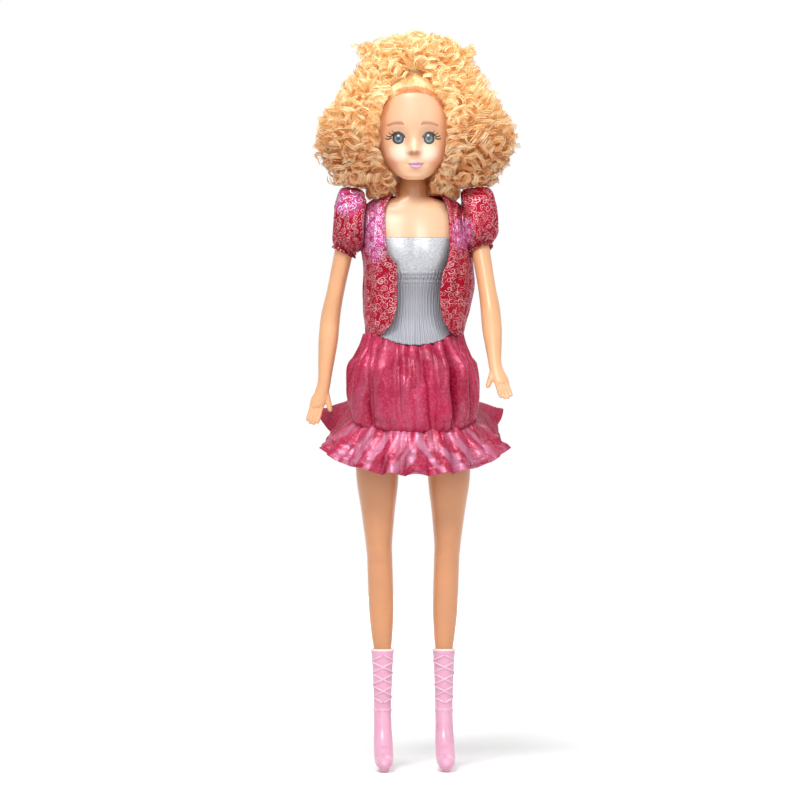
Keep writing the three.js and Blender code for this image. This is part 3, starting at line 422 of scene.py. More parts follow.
# %% Foil curls: a generic scatter of small open spirals
@effect("foil curls", Where=None, Curls_per_mm=0.5, Line=0.06)
def curls_of(where, scale, line):
    """Every cell holds one spiral, at a chance angle; half of them turn the other way."""
    spots = cells(where, scale, Randomness=0.95)
    x, y, _ = split(where - spots["Position"])
    start, way, random = split(spots["Color"])
    turn = calc("FRACT", calc("ARCTAN2", y, x) / (2 * pi) + start)
    flip = calc("GREATER_THAN", way, 0.5)
    turn = node("ShaderNodeMix", {0: flip, 2: turn, 3: 1.0 - turn}, data_type="FLOAT")[0]
    reach = 0.13 + turn * 0.36
    arms = [calc("LESS_THAN", calc("ABSOLUTE", spots["Distance"] - (reach - inset)), line) for inset in (0.0, 0.36)]
    return {"Mask": calc("MAXIMUM", *arms) * spread(turn, 0.03, 0.09), "Random": random}


# %% Printed jacket cloth
PAINTED_SHEEN_SPOTS = (  # painted lilac sheen near the shoulders: out, up, half width, half height, strength
    (-16.5, 225.0, 5.6, 14.0, 0.85), (-27.8, 237.5, 6.6, 6.5, 0.8), (20.0, 224.0, 5.0, 7.5, 0.7),
)


def painted_lilac_sheen():
    """Painted sheen: broad broken lilac patches near the shoulders, on the front only."""
    x, y, z = split(on_piece())
    total = 0.0
    for out, up, wide, tall, strength in PAINTED_SHEEN_SPOTS:
        u, v = out_of_middle(x, out) / (wide * MM), (z - up * MM) / (tall * MM)
        total = calc("MAXIMUM", total, spread(u * u + v * v, 1.4, 0.1, 0.0, strength))
    broken = spread(noise(on_cloth(), 0.33, 3, 0.6), 0.36, 0.56, 0.25, 1.0)
    return total * broken * spread(y, float(MIDDLE[1]) + 0.004, float(MIDDLE[1]) - 0.004)


def printed(name):
    made, shader = finish(
        name, Sheen_Weight=0.02, Sheen_Roughness=0.35, Sheen_Tint=(1.0, 0.55, 0.85), Specular_IOR_Level=0.2,
        Specular_Tint=(1.0, 0.62, 0.92),
    )
    where = on_cloth()
    print_one = curls_of(Where=where, Curls_per_mm=0.35, Line=0.043)
    print_two = curls_of(Where=where + (17.3, 9.1, 0.0), Curls_per_mm=0.41, Line=0.045)
    worn = spread(noise(where, 0.5, 3), 0.28, 0.42)
    foil = calc("MAXIMUM", print_one["Mask"], print_two["Mask"] * 0.7) * worn
    painted_sheen = painted_lilac_sheen()
    ground = mix(spread(noise(where, 0.06, 3), 0.3, 0.7), (0.32, 0.002, 0.011), (0.42, 0.003, 0.023))
    silver = mix(print_one["Random"], (0.58, 0.24, 0.27), (0.75, 0.45, 0.48))
    # painted sheen: ground and foil turn lilac in those patches
    ground, silver = mix(painted_sheen, ground, (0.60, 0.12, 0.42)), mix(painted_sheen, silver, (0.92, 0.80, 0.94))
    feed(
        shader, Base_Color=mix(foil, ground, silver), Roughness=spread(foil, 0.0, 1.0, 0.4, 0.3),
        Metallic=spread(foil, 0.0, 1.0, 0.1, 0.35),
        Normal=bump(relief_of(where, 0.18, 5.0, 2.4, 0.3) + foil * 0.5, 0.00008, 0.8),
    )
    return made


jacket_finish = printed("printed jacket cloth")


# %% Hook and loop tape, overlock thread and elastic
def napped(name, colour, scale):
    made, shader = finish(name, Sheen_Weight=0.3)
    dots = node("ShaderNodeTexVoronoi", {"Vector": on_piece(), "Scale": scale})["Distance"]
    feed(
        shader, Base_Color=mix(spread(dots, 0.1, 0.6), colour, [c * 0.7 for c in colour]),
        Roughness=spread(dots, 0.1, 0.7, 0.75, 0.95), Normal=bump(dots, 0.0002, 0.8),
    )
    return made


tape_finish = napped("hook and loop tape", (0.80, 0.79, 0.76), 1800.0)
overlock_finish = napped("overlock thread", (0.86, 0.80, 0.66), 2600.0)
elastic_finish = napped("knitted elastic", (0.84, 0.66, 0.36), 2200.0)
print("cloths:", satin_finish.name, knit_finish.name, jacket_finish.name, tape_finish.name)


# %% [markdown]
# ## Hair fibre
# Doll hair is shiny nylon: pale yellow where a curl turns to the light, and orange-brown between its
# fibres. Each lock has its own shade, and its streaks run along it.

# %% Hair finish
HAIR_MIDDLE_AT = place([1.2, 6.0, 266.0])  # the shade of the whole mass goes by the way from here


def fibre(name, dark, middle, pale, fineness=14.0, gloss=0.3, root_shade=None, softness=0.9, glow=0.2):
    """Fibres pass light on, so each is shaded partly as the whole mass would be, and each glows a little as painted
    light.
    """
    made, shader = finish(
        name, Specular_IOR_Level=0.7, Sheen_Weight=0.1, Sheen_Roughness=0.4, Sheen_Tint=(1.0, 0.86, 0.6),
        Emission_Strength=glow,
    )
    where, on_doll = on_cloth(), on_piece()
    streaks = streaks_of(Where=where, Fineness=fineness)
    colour = ramp(streaks["Shade"], (0.25, dark), (0.74, pale), (0.5, middle))
    if root_shade:  # painted shade: the first few millimetres from the hairline are darker, in the shade at the hair's root
        down = split(where)[0]
        colour = mix(spread(down, 2.2, 3.4, 1.0, 0.0), colour, root_shade)
        # painted shade again from 8 mm on, towards the tie; the band between stays pale as a painted highlight
        colour = mix(spread(down, 8.0, 12.0, 0.0, 0.7), colour, root_shade)
    # painted shade: darker and browner towards the bottom of the hair
    low = spread(split(on_doll)[2], 0.290, 0.250)
    colour = mix(low * 0.6, colour, (0.97, 0.72, 0.60), "MULTIPLY")
    tone = noise(on_doll, 190.0, 2, 0.55)  # whole curls are paler or deeper than their neighbours
    colour = mix(spread(tone, 0.56, 0.36, 0.0, 0.7), colour, (0.86, 0.64, 0.44), "MULTIPLY")
    colour = mix(spread(tone, 0.50, 0.66, 0.0, 0.5), colour, (1.0, 0.93, 0.60))
    painted_glow_colour = mix(low, (1.0, 0.80, 0.60), (0.20, 0.07, 0.035))  # painted glow, standing in for light that neighbouring fibres pass on
    outward = calc("NORMALIZE", on_doll - tuple(HAIR_MIDDLE_AT))
    outward = node(
        "ShaderNodeVectorTransform", {0: outward}, vector_type="NORMAL", convert_from="OBJECT", convert_to="WORLD")[0]
    soft = calc("NORMALIZE", outward * ((softness,) * 3) + node("ShaderNodeNewGeometry")["Normal"])
    feed(
        shader, Base_Color=colour, Emission_Color=mix(1.0, colour, painted_glow_colour, "MULTIPLY"),
        Roughness=spread(streaks["Shade"], 0.2, 0.8, gloss + 0.1, gloss - 0.04),
        Normal=bump(streaks["Height"], 0.00008, 0.5, Normal=soft),
    )
    return made


curl_finish = fibre("curl fibre", (0.84, 0.44, 0.15), (0.96, 0.66, 0.29), (1.0, 0.93, 0.68), glow=0.46)
# shaded copies of the curl fibre: painted shade for the under layer of locks and for the inner mass
under_finish = fibre("curl fibre in shade", (0.90, 0.43, 0.13), (0.96, 0.58, 0.21), (1.0, 0.74, 0.36))
inner_shade_finish = fibre("hair in shadow", (0.74, 0.32, 0.09), (0.86, 0.45, 0.14), (0.92, 0.56, 0.21))
front_finish = fibre(
    "smooth front hair", (0.93, 0.58, 0.24), (1.0, 0.78, 0.40), (1.0, 0.92, 0.62), 9.0,
    root_shade=(0.72, 0.28, 0.09), softness=0.2, glow=0.15,
)
print("hair:", curl_finish.name, inner_shade_finish.name, front_finish.name)


# %% [markdown]
# ## Turning rows of points into pieces
# Nearly every piece is a grid of points: rings up a limb, or rows down a garment. These helpers turn a
# grid into a mesh, and carry the flat measure of cloth as a UV map.

# %% Mesh helpers
def stack(*parts):
    """Arrays of x, y and z as one array of points."""
    return np.stack(np.broadcast_arrays(*parts), -1)


def distance(grid, axis=0):
    """How far each point lies from the first one, along its column or row."""
    steps = np.linalg.norm(diff(grid, axis=axis), axis=-1)
    return np.insert(np.cumsum(steps, axis), 0, 0, axis)


def grid_faces(rows, columns, wrap=False):
    row, column = (arange(rows - 1) * columns)[:, None], arange(columns if wrap else columns - 1)
    low, high = row + column, row + (column + 1) % columns
    return stack(low, high, high + columns, low + columns).reshape(-1, 4)


def piece(name, points, faces, finish_of, flat=None):
    """A new mesh object; faces are arrays of point numbers, each array with faces of one size."""
    mesh = bpy.data.meshes.new(name)
    mesh.from_pydata(place(points), [], [face for group in faces for face in group.tolist()])
    if flat is not None:
        corners = concatenate([group.ravel() for group in faces])
        mesh.uv_layers.new(name="flat").data.foreach_set("uv", asarray(flat, np.float32)[corners].ravel())
    mesh.validate()
    mesh.shade_smooth()
    mesh.materials.append(finish_of)
    made = bpy.data.objects.new(name, mesh)
    bpy.context.scene.collection.objects.link(made)
    return made


def dress(made, body, slot, *nodes):
    if nodes:
        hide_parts(*nodes)
    if body:
        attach(made, body)
    print(f"{made.name}: {len(made.data.polygons)} faces on {body or 'two bodies'}")
    return made


def loft(rings):
    """A closed body through rings that rise from row to row."""
    rows, columns = rings.shape[:2]
    bottom = arange(columns)[None, :]
    return rings.reshape(-1, 3), [grid_faces(rows, columns, True), bottom[:, ::-1], bottom + (rows - 1) * columns]


# %% [markdown]
# ## Sections that swell and narrow
# A limb is drawn by a few key sections: a middle, a half width, and depths to the front and back. A smooth
# curve that never overshoots fills in the sections between them.

# %% Key sections and the rings through them
def key(z, wide, front, back=None, x=0.0, y=0.0, pitch=0.0):
    return (x, y, z, wide, front, front if back is None else back, pitch)


def curve(a, b, slope_a, slope_b, width, t):
    """A smooth curve from a to b with these slopes at its ends; t goes from 0 to 1."""
    return (
        a * (1 + 2 * t) * (1 - t) ** 2 + slope_a * width * t * (1 - t) ** 2
        + b * t * t * (3 - 2 * t) + slope_b * width * t * t * (t - 1)
    )


def between(keys, steps):
    """The key sections with steps - 1 more between each pair."""
    keys = array(keys, float)
    gap = diff(distance(keys[:, :3]))[:, None]
    rise = diff(keys, axis=0) / gap
    before, after = rise[:-1], rise[1:]
    same = before * after > 0
    slope = np.where(same, 2 * before * after / np.where(same, before + after, 1), 0)
    slope = concatenate([rise[:1], slope, rise[-1:]])
    t = (arange(steps) / steps)[None, :, None]
    filled = curve(keys[:-1, None], keys[1:, None], slope[:-1, None], slope[1:, None], gap[:, None], t)
    return concatenate([filled.reshape(-1, keys.shape[1]), keys[-1:]])


SECTION_POWER = 2.25  # 2 is an ellipse, more is squarer


def around(count):
    return arange(count) / count * 2 * pi


def squared(turn, power=SECTION_POWER):
    """Cosine and sine of an angle, pushed out towards a square."""
    c, s = cos(turn), sin(turn)
    return np.sign(c) * abs(c) ** (2 / power), np.sign(s) * abs(s) ** (2 / power)


def points_of(made):
    """The points of a piece, in millimetres round the middle line."""
    points = np.empty(len(made.data.vertices) * 3, np.float32)
    made.data.vertices.foreach_get("co", points)
    return (points.reshape(-1, 3) - MIDDLE) / MM


def unit(vectors):
    return vectors / np.maximum(np.linalg.norm(vectors, axis=-1, keepdims=True), 1e-9)


def rings_of(sections, turn, power=SECTION_POWER, swell=0.0):
    x, y, z, wide, front, back, pitch = (asarray(sections)[:, i][:, None] for i in range(7))
    c, s = squared(turn, power)
    u, v = c * (wide + swell), s * (np.where(s > 0, back, front) + swell)
    tilt = np.radians(pitch)
    return stack(x + u, y + v * cos(tilt), z + v * sin(tilt))


def section_at(sections, z):
    z = asarray(z, float)
    made = np.stack([interp(z, sections[:, 2], sections[:, i]) for i in range(7)], -1)
    made[..., 2] = z
    return made


def ease(value, low, high):
    t = clip((asarray(value, float) - low) / (high - low), 0, 1)
    return t * t * (3 - 2 * t)


def hump(value, centre, width):
    return np.exp(-(((asarray(value, float) - centre) / width) ** 2))


def smoothed(values, reach):
    count = 2 * reach + 1
    return np.convolve(np.pad(values, reach, mode="edge"), np.ones(count) / count, "valid")


# %% Cutting and melting meshes
def modify(made, kind, **settings):
    step = made.modifiers.new(kind.lower(), kind)
    for name, value in settings.items():
        setattr(step, name, value)
    return made


def as_mesh(made):
    bpy.context.view_layer.update()
    view = bpy.context.evaluated_depsgraph_get()
    new = bpy.data.meshes.new_from_object(made.evaluated_get(view))
    made.modifiers.clear()
    made.data = new
    made.data.shade_smooth()
    return made


def cut_away(made, *cutters):
    for cutter in cutters:
        as_mesh(modify(made, "BOOLEAN", operation="DIFFERENCE", object=cutter, solver="EXACT"))
        bpy.data.objects.remove(cutter)
    return made


def face_outwards(made):
    whole = bmesh.new()
    whole.from_mesh(made.data)
    bmesh.ops.recalc_face_normals(whole, faces=whole.faces)
    whole.to_mesh(made.data)
    whole.free()
    return made


def melted(made, voxel_mm):
    """Melts overlapping closed forms into one skin, and softens it a little."""
    modify(made, "REMESH", mode="VOXEL", voxel_size=voxel_mm * MM, use_smooth_shade=True)
    return as_mesh(modify(made, "SMOOTH", factor=0.5, iterations=3))


def rod(radius_low, radius_high, start, end, count=48):
    start, end = array(start, float), array(end, float)
    along = unit(end - start)
    side = unit(cross(along, [0.0, 1.0, 0.0] if abs(along[1]) < 0.9 else [1.0, 0.0, 0.0]))
    other = cross(along, side)
    turn = around(count)[:, None]
    circle = cos(turn) * side + sin(turn) * other
    return loft(array([start + circle * radius_low, end + circle * radius_high]))


def stacked(*shapes):
    """Several shapes as one, with their flat places if they carry those."""
    faces, first = [], 0
    for points, own_faces, *_ in shapes:
        faces += [group + first for group in own_faces]
        first += len(points)
    points, _, *flats = zip(*shapes)
    return concatenate(points), faces, *map(concatenate, flats)


def ball(centre, radius, count=32):
    up, turn = linspace(-pi / 2, pi / 2, count // 2 + 1)[1:-1, None], around(count)
    return loft(centre + radius * stack(cos(up) * cos(turn), cos(up) * sin(turn), sin(up)))


# %% [markdown]
# ## Torso
# The real torso is two hollow shells closed at the side seams. Eight sections draw it from the hips to the
# neck. A soft hollow pressed in at the front leaves two rounded forms, and the bodice follows the same
# shape. Then the leg sockets and arm flats are cut away.

# %% The torso's sections
HIP_Z, SHOULDER_Z, SHOULDER_X = 152.0, 230.5, 26.2
NECK_BASE_Z, NECK_TOP_Z, CHIN_Z, CROWN_Z = 240.5, 252.0, 247.0, 293.0
WAIST_Z, BUST_Z = 195.0, 215.0
TORSO = between(
    [
        key(146, 19, 10.5, 12.5), key(161, 24, 13, 16), key(WAIST_Z, 13.6, 10.3, 9.6),
        key(BUST_Z, 17.8, 16.4, 11.3), key(SHOULDER_Z, 22.3, 9.4, 10), key(236.5, 17.5, 7.2, 8),
        key(NECK_BASE_Z, 6.2, 6.2), key(NECK_TOP_Z, 5.3, 5.3),
    ],
    12,
)
BUST_RISE = 214.0


def bust_hollow(points):
    """How far the front is pressed in round the two forms of the bust."""
    x, y, z = np.moveaxis(points, -1, 0)
    level = hump(z, BUST_RISE + 2, 9.5)
    pressed = 2.1 * hump(x, 0, 3.6) * level + 0.9 * ease(abs(x), 9, 16) * hump(z, BUST_RISE, 8)
    collar = -0.35 * hump(abs(x), 8, 5) * hump(z, 234.5, 1.6)
    return (pressed + collar) * (y < 0) * ease(-y, 0, 4)


def pressed_in(points, share=1.0):
    return points + stack(0, share * bust_hollow(points), 0)


# %% Torso halves, with sockets for the legs and flats for the arms
def socket_of(side):
    """A thigh's room: round over the hip's ball, and open to the front and below."""
    first, radius, reach = radians(20), 9.95, 76.0
    outline = [(radius * math.cos(a), radius * math.sin(a)) for a in linspace(first, pi / 2, 17)]
    y, z = outline[0]
    outline += [(-reach, radius), (-reach, -reach), (y + reach * math.sin(first), z - reach * math.cos(first))]
    ends = [[(x, y, HIP_Z + z) for y, z in outline] for x in (side * 5.55, side * 60.0)[::-side]]
    return piece("socket", *loft(array(ends)), skin_finish)


def bored(radius, start, end, radius_end=None):
    """A round cutter; its two ends may differ."""
    return piece("bored", *rod(radius, radius_end or radius, start, end), skin_finish)


def across(z, start, end):
    """The two ends of a peg or hole that runs from side to side."""
    return (start, 0, z), (end, 0, z)


torso = piece("torso", *loft(pressed_in(rings_of(TORSO, around(96)))), skin_finish)
cutters = [
    cutter for side in SIDES.values()
    for cutter in (socket_of(side), bored(10.2, *across(SHOULDER_Z, side * 20.55, side * 60)))
] + [
    bored(3.75, *across(HIP_Z, -16, 16)), bored(3.75, *across(SHOULDER_Z, -27, 27)),
    bored(3.9, (0, 0, NECK_TOP_Z - 4.5), (0, 0, NECK_TOP_Z + 2)),
]
cut_away(torso, *map(face_outwards, cutters))
dress(torso, "torso", "skin", "torso_front", "torso_back")


# %% [markdown]
# ## Arms
# Each arm is one vinyl moulding: a slim limb bent a little at the elbow, a flat hand with its fingers side
# by side, and a thumb held apart. These are closed forms at first, and a voxel remesh melts them into one
# skin, as a mould would. The arm is built hanging from the shoulder, then turned to its pose.

# %% The arm's measures and pose
ARM_POSE = {"right": (-5.0, 2.3), "left": (22.0, -2.3)}  # forward swing and outward splay, in degrees
UPPER_ARM, FOREARM, HAND = 40.0, 30.0, 16.5
UPPER_SLOPE, ELBOW_BEND = tan(radians(9.5)), tan(radians(15))
ELBOW = array([UPPER_ARM * UPPER_SLOPE, 0, -UPPER_ARM])
WRIST = ELBOW + FOREARM * array([tan(radians(3.6)), -ELBOW_BEND, -1])
TIP = WRIST + HAND * array([tan(radians(18)), -ELBOW_BEND, -1])


def turned(points, degrees, i, j):
    """Turns points from their axis i towards their axis j."""
    c, s, made = math.cos(radians(degrees)), math.sin(radians(degrees)), points.copy()
    made[..., i], made[..., j] = points[..., i] * c - points[..., j] * s, points[..., i] * s + points[..., j] * c
    return made


def on_arm(points, name, splayed=True):
    """From an arm that hangs from zero, with +X outwards, to its place on the doll."""
    swing, splay = ARM_POSE[name]
    hanging = turned(points, -splay * splayed, 2, 0) * (SIDES[name], 1, 1)
    return turned(hanging, -swing, 1, 2) + (SIDES[name] * SHOULDER_X, 0, SHOULDER_Z)


def part_way(a, b, share, wide, deep):
    x, y, z = a + (b - a) * share
    return key(z, wide, deep, x=x, y=y)


# %% Arm forms: limb, palm, fingers and thumb
def finger(root, tip, radius, bend):
    along = linspace(0, 1, 9)[:, None]
    line = root + (tip - root) * along - array([0, bend, 0]) * along**2
    sizes = radius * array([1, 1, 0.98, 1.0, 0.97, 0.97, 0.95, 0.85, 0.5])
    sections = [key(z, size, 0.92 * size, x=x, y=y) for (x, y, z), size in zip(line, sizes)]
    return loft(rings_of(between(sections, 2)[::-1], around(16), 2))


LIMB = (  # from, to, how far along, half width and half depth
    (zeros(3), ELBOW, ((0.02, 3.9, 3.9), (0.35, 3.95, 3.95), (0.75, 3.7, 3.95))),
    (ELBOW, WRIST, ((0.05, 4.1, 4.1), (0.3, 4.15, 3.95), (0.65, 3.45, 3.5), (0.93, 2.75, 2.55))),
    (WRIST, TIP, ((0.14, 2.95, 2.0), (0.32, 3.4, 1.65), (0.47, 3.25, 1.4), (0.53, 2.9, 1.0))),
)
limb_keys = [part_way(a, b, *measures) for a, b, rows in LIMB for measures in rows]
limb_form = loft(rings_of(between(limb_keys, 6)[::-1], around(40), 2))
finger_forms = []
for i, length in enumerate((7.8, 9.0, 9.3, 8.7)):  # little finger to index, outer to inner
    root = WRIST + (TIP - WRIST) * 0.42 + (2.2 - 1.42 * i, 0.1, 0)
    finger_forms.append(finger(root, root + array([0.27 - 0.012 * i, -ELBOW_BEND, -1.0]) * length, 0.90, 0.35))
thumb_root = WRIST + (TIP - WRIST) * 0.12 - (1.6, 0, 0)
thumb_form = finger(thumb_root, thumb_root - (2.2, 1.6, 8.6), 1.25, 0.2)


# %% Melt each arm into one moulding and pose it
def arm_of(name):
    side = SIDES[name]
    points, faces = stacked(limb_form, *finger_forms, thumb_form)
    points = on_arm(points, name)
    if side < 0:
        faces = [f[:, ::-1] for f in faces]
    shoulder = ball((side * SHOULDER_X, 0, SHOULDER_Z), 5.3)
    pegs = [  # the peg, the flange inside the torso and the flat disc
        rod(radius, radius, *across(SHOULDER_Z, side * start, side * end))
        for radius, start, end in ((2.6, 17.6, 24), (3.4, 17.5, 18.5), (5.1, 20.95, 26))
    ]
    made = piece(f"{name}_arm_moulding", *stacked((points, faces), shoulder, *pegs), arm_finish)
    return melted(face_outwards(made), 0.3)


for name in SIDES:
    dress(arm_of(name), f"{name}_arm", "skin", f"{name}_arm")


# %% [markdown]
# ## Legs
# The legs are long and slim, with a small kneecap and a soft calf, and the foot is arched for high heels.
# The boot is worked out from the same sections, a little larger.

# %% The leg's sections
BOOT_TOP, ANKLE, KNEE, CALF = 49.6, 25.0, 89.0, 69.0
FOOT_X, KNEE_X, HIP_X = 12.9, 14.1, 15.5
BALL_REACH, TOE_REACH, SOLE = 10.5, 21.0, 0.9


def foot_keys(inset=0.0):
    toe = lambda share: BALL_REACH + (TOE_REACH - BALL_REACH) * share
    w = lambda value: value - inset
    return [
        key(BOOT_TOP, w(4.75), w(4.75)), key(37.3, w(4.1), w(3.9), w(4.45)),
        key(ANKLE, w(3.75), w(3.9), w(4.2), pitch=-5),
        key(18.0, w(3.75), w(3.9), w(4.54), y=-2.1, pitch=-25),
        key(11.0, w(4.0), w(3.5), y=-5.99, pitch=-36),
        key(3.5 + SOLE + 1.75, w(4.0), w(3.5), w(3.36), y=-toe(0.02), pitch=-58),
        key(3.08 + SOLE, w(3.76), w(3.01), w(3.08), y=-toe(0.4), pitch=-84),
        key(2.63 + SOLE, w(2.88), w(2.45), w(2.59), y=-toe(0.8), pitch=-90),
        key(2.17 + SOLE, 1.04, 0.7, 0.98, y=-toe(1) + inset, pitch=-90),
    ]


def stance(z):
    """How far out the leg's middle is at a height."""
    up = clip((z - KNEE) / (HIP_Z - KNEE), 0, 1)
    low = clip((z - BOOT_TOP) / (KNEE - BOOT_TOP), 0, 1)
    below = FOOT_X + (KNEE_X - FOOT_X) * low
    return np.where(z > KNEE, KNEE_X + (HIP_X - KNEE_X) * up**0.6, below)


leg_sections = between(
    [
        key(HIP_Z, 7.7, 7.7), key(144.4, 9.25, 9.2), key(123.7, 8.9, 9.2), key(104.8, 6.67, 7.15, 7.0),
        key(KNEE, 5.3, 5.7, 5.13), key(CALF, 5.25, 4.8, 6.2), key(55.4, 4.38, 4.26, 4.65),
        key(BOOT_TOP, 3.7, 3.7), *foot_keys(1.05)[1:],
    ],
    7,
)


def leg_relief(points):
    """A kneecap with a dimple at each side, a shin, and the hollow behind the knee."""
    x, y, z = np.moveaxis(points, -1, 0)
    x = x - stance(z)
    front = 0.62 * hump(z, KNEE + 2.2, 3.6) * hump(x, 0, 3.0) - 0.3 * hump(z, KNEE - 3.4, 2.2) * hump(x, 0, 3.2)
    front += 0.22 * hump(x, 0, 1.5) * ease(z, 50, 62) * ease(z, 84, 76)
    return points - stack(0, front * ease(-y, 0, 3) + 0.5 * hump(z, KNEE, 4) * hump(x, 0, 3) * ease(y, 0, 3), 0)


# %% Each leg, with its hip ball and peg
def leg_of(name):
    side = SIDES[name]
    rings = rings_of(leg_sections, around(48), 2)
    rings[..., 0] += stance(leg_sections[:, 2])[:, None]
    rings = leg_relief(rings) * (side, 1, 1)
    hip = ball((side * HIP_X, 0, HIP_Z), 9.6)
    peg = rod(2.6, 2.6, *across(HIP_Z, side * 2.5, side * 14))
    flange = rod(3.4, 3.4, *across(HIP_Z, side * 2.45, side * 3.45))
    made = piece(f"{name}_leg_moulding", *stacked(loft(rings[::-1]), hip, peg, flange), leg_finish)
    return melted(face_outwards(made), 0.42)


for name in SIDES:
    dress(leg_of(name), f"{name}_leg", "skin", f"{name}_leg")


# %% [markdown]
# ## Boots
# Each boot is a soft vinyl skin with everything moulded in: a rolled rim, laces that cross down the shin,
# a raised band at the ankle, a sole and a tall heel. Its shell is drawn from the inside of the toe up over
# the rim and down the outside.

# %% The boot's shell
boot_outside = between(foot_keys(), 10)
boot_inside = between(foot_keys(0.75), 10)


def boot_shell(side):
    lip = [key(BOOT_TOP + rise, radius, radius) for rise, radius in ((0.28, 4.2), (0.38, 4.38), (0.28, 4.55))]
    inner, rim, down = (rings_of(rows, around(56), 2) for rows in (boot_inside[::-1], lip, boot_outside))
    swell = 0.14 * hump(boot_outside[:, 2], BOOT_TOP - 0.6, 0.9)[:, None, None]
    down = down + unit(down - down.mean(axis=1, keepdims=True)) * swell
    return loft(concatenate([inner, rim, down]) + (side * FOOT_X, 0, 0))


def surface_point(angle, z, proud=0.0):
    """A point of the boot's outside, at an angle from its front."""
    middle, y, _, wide, front, back, pitch = section_at(boot_outside[::-1], z).T
    a, tilt = angle - pi / 2, np.radians(pitch)
    v = sin(a) * (np.where(sin(a) > 0, back, front) + proud)
    return stack(middle + cos(a) * (wide + proud), y + v * cos(tilt), z + v * sin(tilt))


def ring_of(rings):
    rows, columns = rings.shape[:2]
    return rings.reshape(-1, 3), [grid_faces(rows + 1, columns, True) % (rows * columns)]


def cord_form(line, radius, sides=8, closed=False):
    """A round cord along a line of points."""
    ahead = np.roll(line, -1, 0) - np.roll(line, 1, 0)
    if not closed:
        ahead[0], ahead[-1] = line[1] - line[0], line[-1] - line[-2]
    ahead = unit(ahead)
    hint = np.zeros_like(ahead)
    hint[arange(len(ahead)), np.argmin(abs(ahead), axis=1)] = 1
    side = unit(cross(ahead, hint))
    for i in range(1, len(side)):
        side[i] = unit(side[i - 1] - ahead[i] * (side[i - 1] @ ahead[i]))
    turn = around(sides)[:, None]
    rings = line[:, None] + radius * (cos(turn) * side[:, None] + sin(turn) * cross(ahead, side)[:, None])
    return ring_of(rings) if closed else loft(rings)


# %% Laces, ankle band, sole and heel
LACE_LOW, LACE_HIGH, LACE_STEP = 27.4, 47.6, 5.05


def lace_lines():
    phase = linspace(0, (LACE_HIGH - LACE_LOW) / LACE_STEP, 150)
    z = LACE_LOW + LACE_STEP * (phase + 0.115 * sin(2 * pi * phase))  # steep over the shin, level behind
    swing = 2 / pi * np.arcsin(sin(pi * phase)) * radians(118)
    swing = smoothed(swing, 3)
    for way in (1, -1):
        side = ease(abs(swing), 0.9, 1.5)  # they sink into the vinyl round the sides
        yield surface_point(way * swing, z, 0.02 + 0.12 * (way > 0) - 0.3 * side)


def level_line(z, proud):
    return surface_point(around(72), np.full(72, z), proud)


def boot_trim(side):
    forms = [cord_form(line, 0.40) for line in lace_lines()]
    for drop, thick in ((0.4, 0.34), (1.0, 0.26)):  # the ankle band
        forms.append(cord_form(level_line(ANKLE - drop, -0.04), thick, closed=True))
    return [(points + (side * FOOT_X, 0, 0), faces) for points, faces in forms]


def sole_and_heel(side):
    turn = around(48)
    levels = array([(0.0, -1.5), (0.22, -1.05), (0.6, -0.65), (1.1, -0.35), (1.7, -0.45), (2.5, -1.1)])
    z, grow = levels.T[..., None]
    wide = (2.75 + grow) * (1 + 0.16 * clip(-sin(turn), 0, 1))
    sole = stack(side * FOOT_X + cos(turn) * wide, (5.7 + grow) * sin(turn) - BALL_REACH - 3.8, z)
    heel = [
        key(0.0, 1.75, 1.75, y=3.2), key(0.25, 1.9, 1.9, y=3.2), key(6, 1.75, 1.85, y=3.3),
        key(11, 2.1, 2.3, y=3.0), key(14.5, 2.9, 3.0, y=2.2), key(17.5, 3.2, 3.4, y=1.4),
    ]
    column = rings_of(between(heel, 6), around(36), 2) + (side * FOOT_X, 0, 0)
    return stacked(loft(sole), loft(column))


for name, side in SIDES.items():
    edge = level_line(BOOT_TOP - 0.35, -0.28) + (side * FOOT_X, 0, 0.35)
    for part, form, finish_of, *nodes in (
        ("shell", boot_shell(side), boot_finish, f"{name}_boot"), ("lacing", stacked(*boot_trim(side)), painted_highlight_lace_finish),
        ("rim", cord_form(edge, 0.62, 12, True), rim_finish), ("sole_and_heel", sole_and_heel(side), boot_finish),
    ):
        dress(piece(f"{name}_boot_{part}", *form, finish_of), f"{name}_leg", "boot", *nodes)


# %% [markdown]
# ## Head
# The head is soft vinyl: an egg shape with a small chin, full cheeks and a broad brow. Rounded humps and
# hollows raise the nose, lips, chin and cheeks and sink the eye sockets. The columns of points are closer
# at the front, where the face needs them.

# %% The egg of the head
HEAD_HALF, FACE_FRONT, SKULL_BACK, HEAD_TALL = 14.3, 15.4, 16.6, 46.0
HEAD_SHARES = (  # height, half width, front and back, each as a share of the whole
    (0, 0.26, 0.84, -0.42), (0.035, 0.5, 0.97, 0.05), (0.1, 0.69, 1.02, 0.45), (0.2, 0.88, 1.02, 0.76),
    (0.36, 0.985, 0.96, 0.95), (0.54, 1, 0.99, 1), (0.72, 0.93, 0.9, 0.97), (0.87, 0.72, 0.67, 0.78),
    (0.965, 0.36, 0.34, 0.42),
)
HEAD_KEYS = [
    key(CHIN_Z + rise * HEAD_TALL, wide * HEAD_HALF, (back * SKULL_BACK + front * FACE_FRONT) / 2,
        y=(back * SKULL_BACK - front * FACE_FRONT) / 2)
    for rise, wide, front, back in HEAD_SHARES
] + [key(CROWN_Z, HEAD_HALF / 8, HEAD_HALF / 8)]
EYE_X, EYE_Z = 6.35, 263.55
LIPS_Z = 252.2
EYE_LEAN, LIPS_LEAN = -0.55, 0.15  # how far the eyes and the lips are set to one side
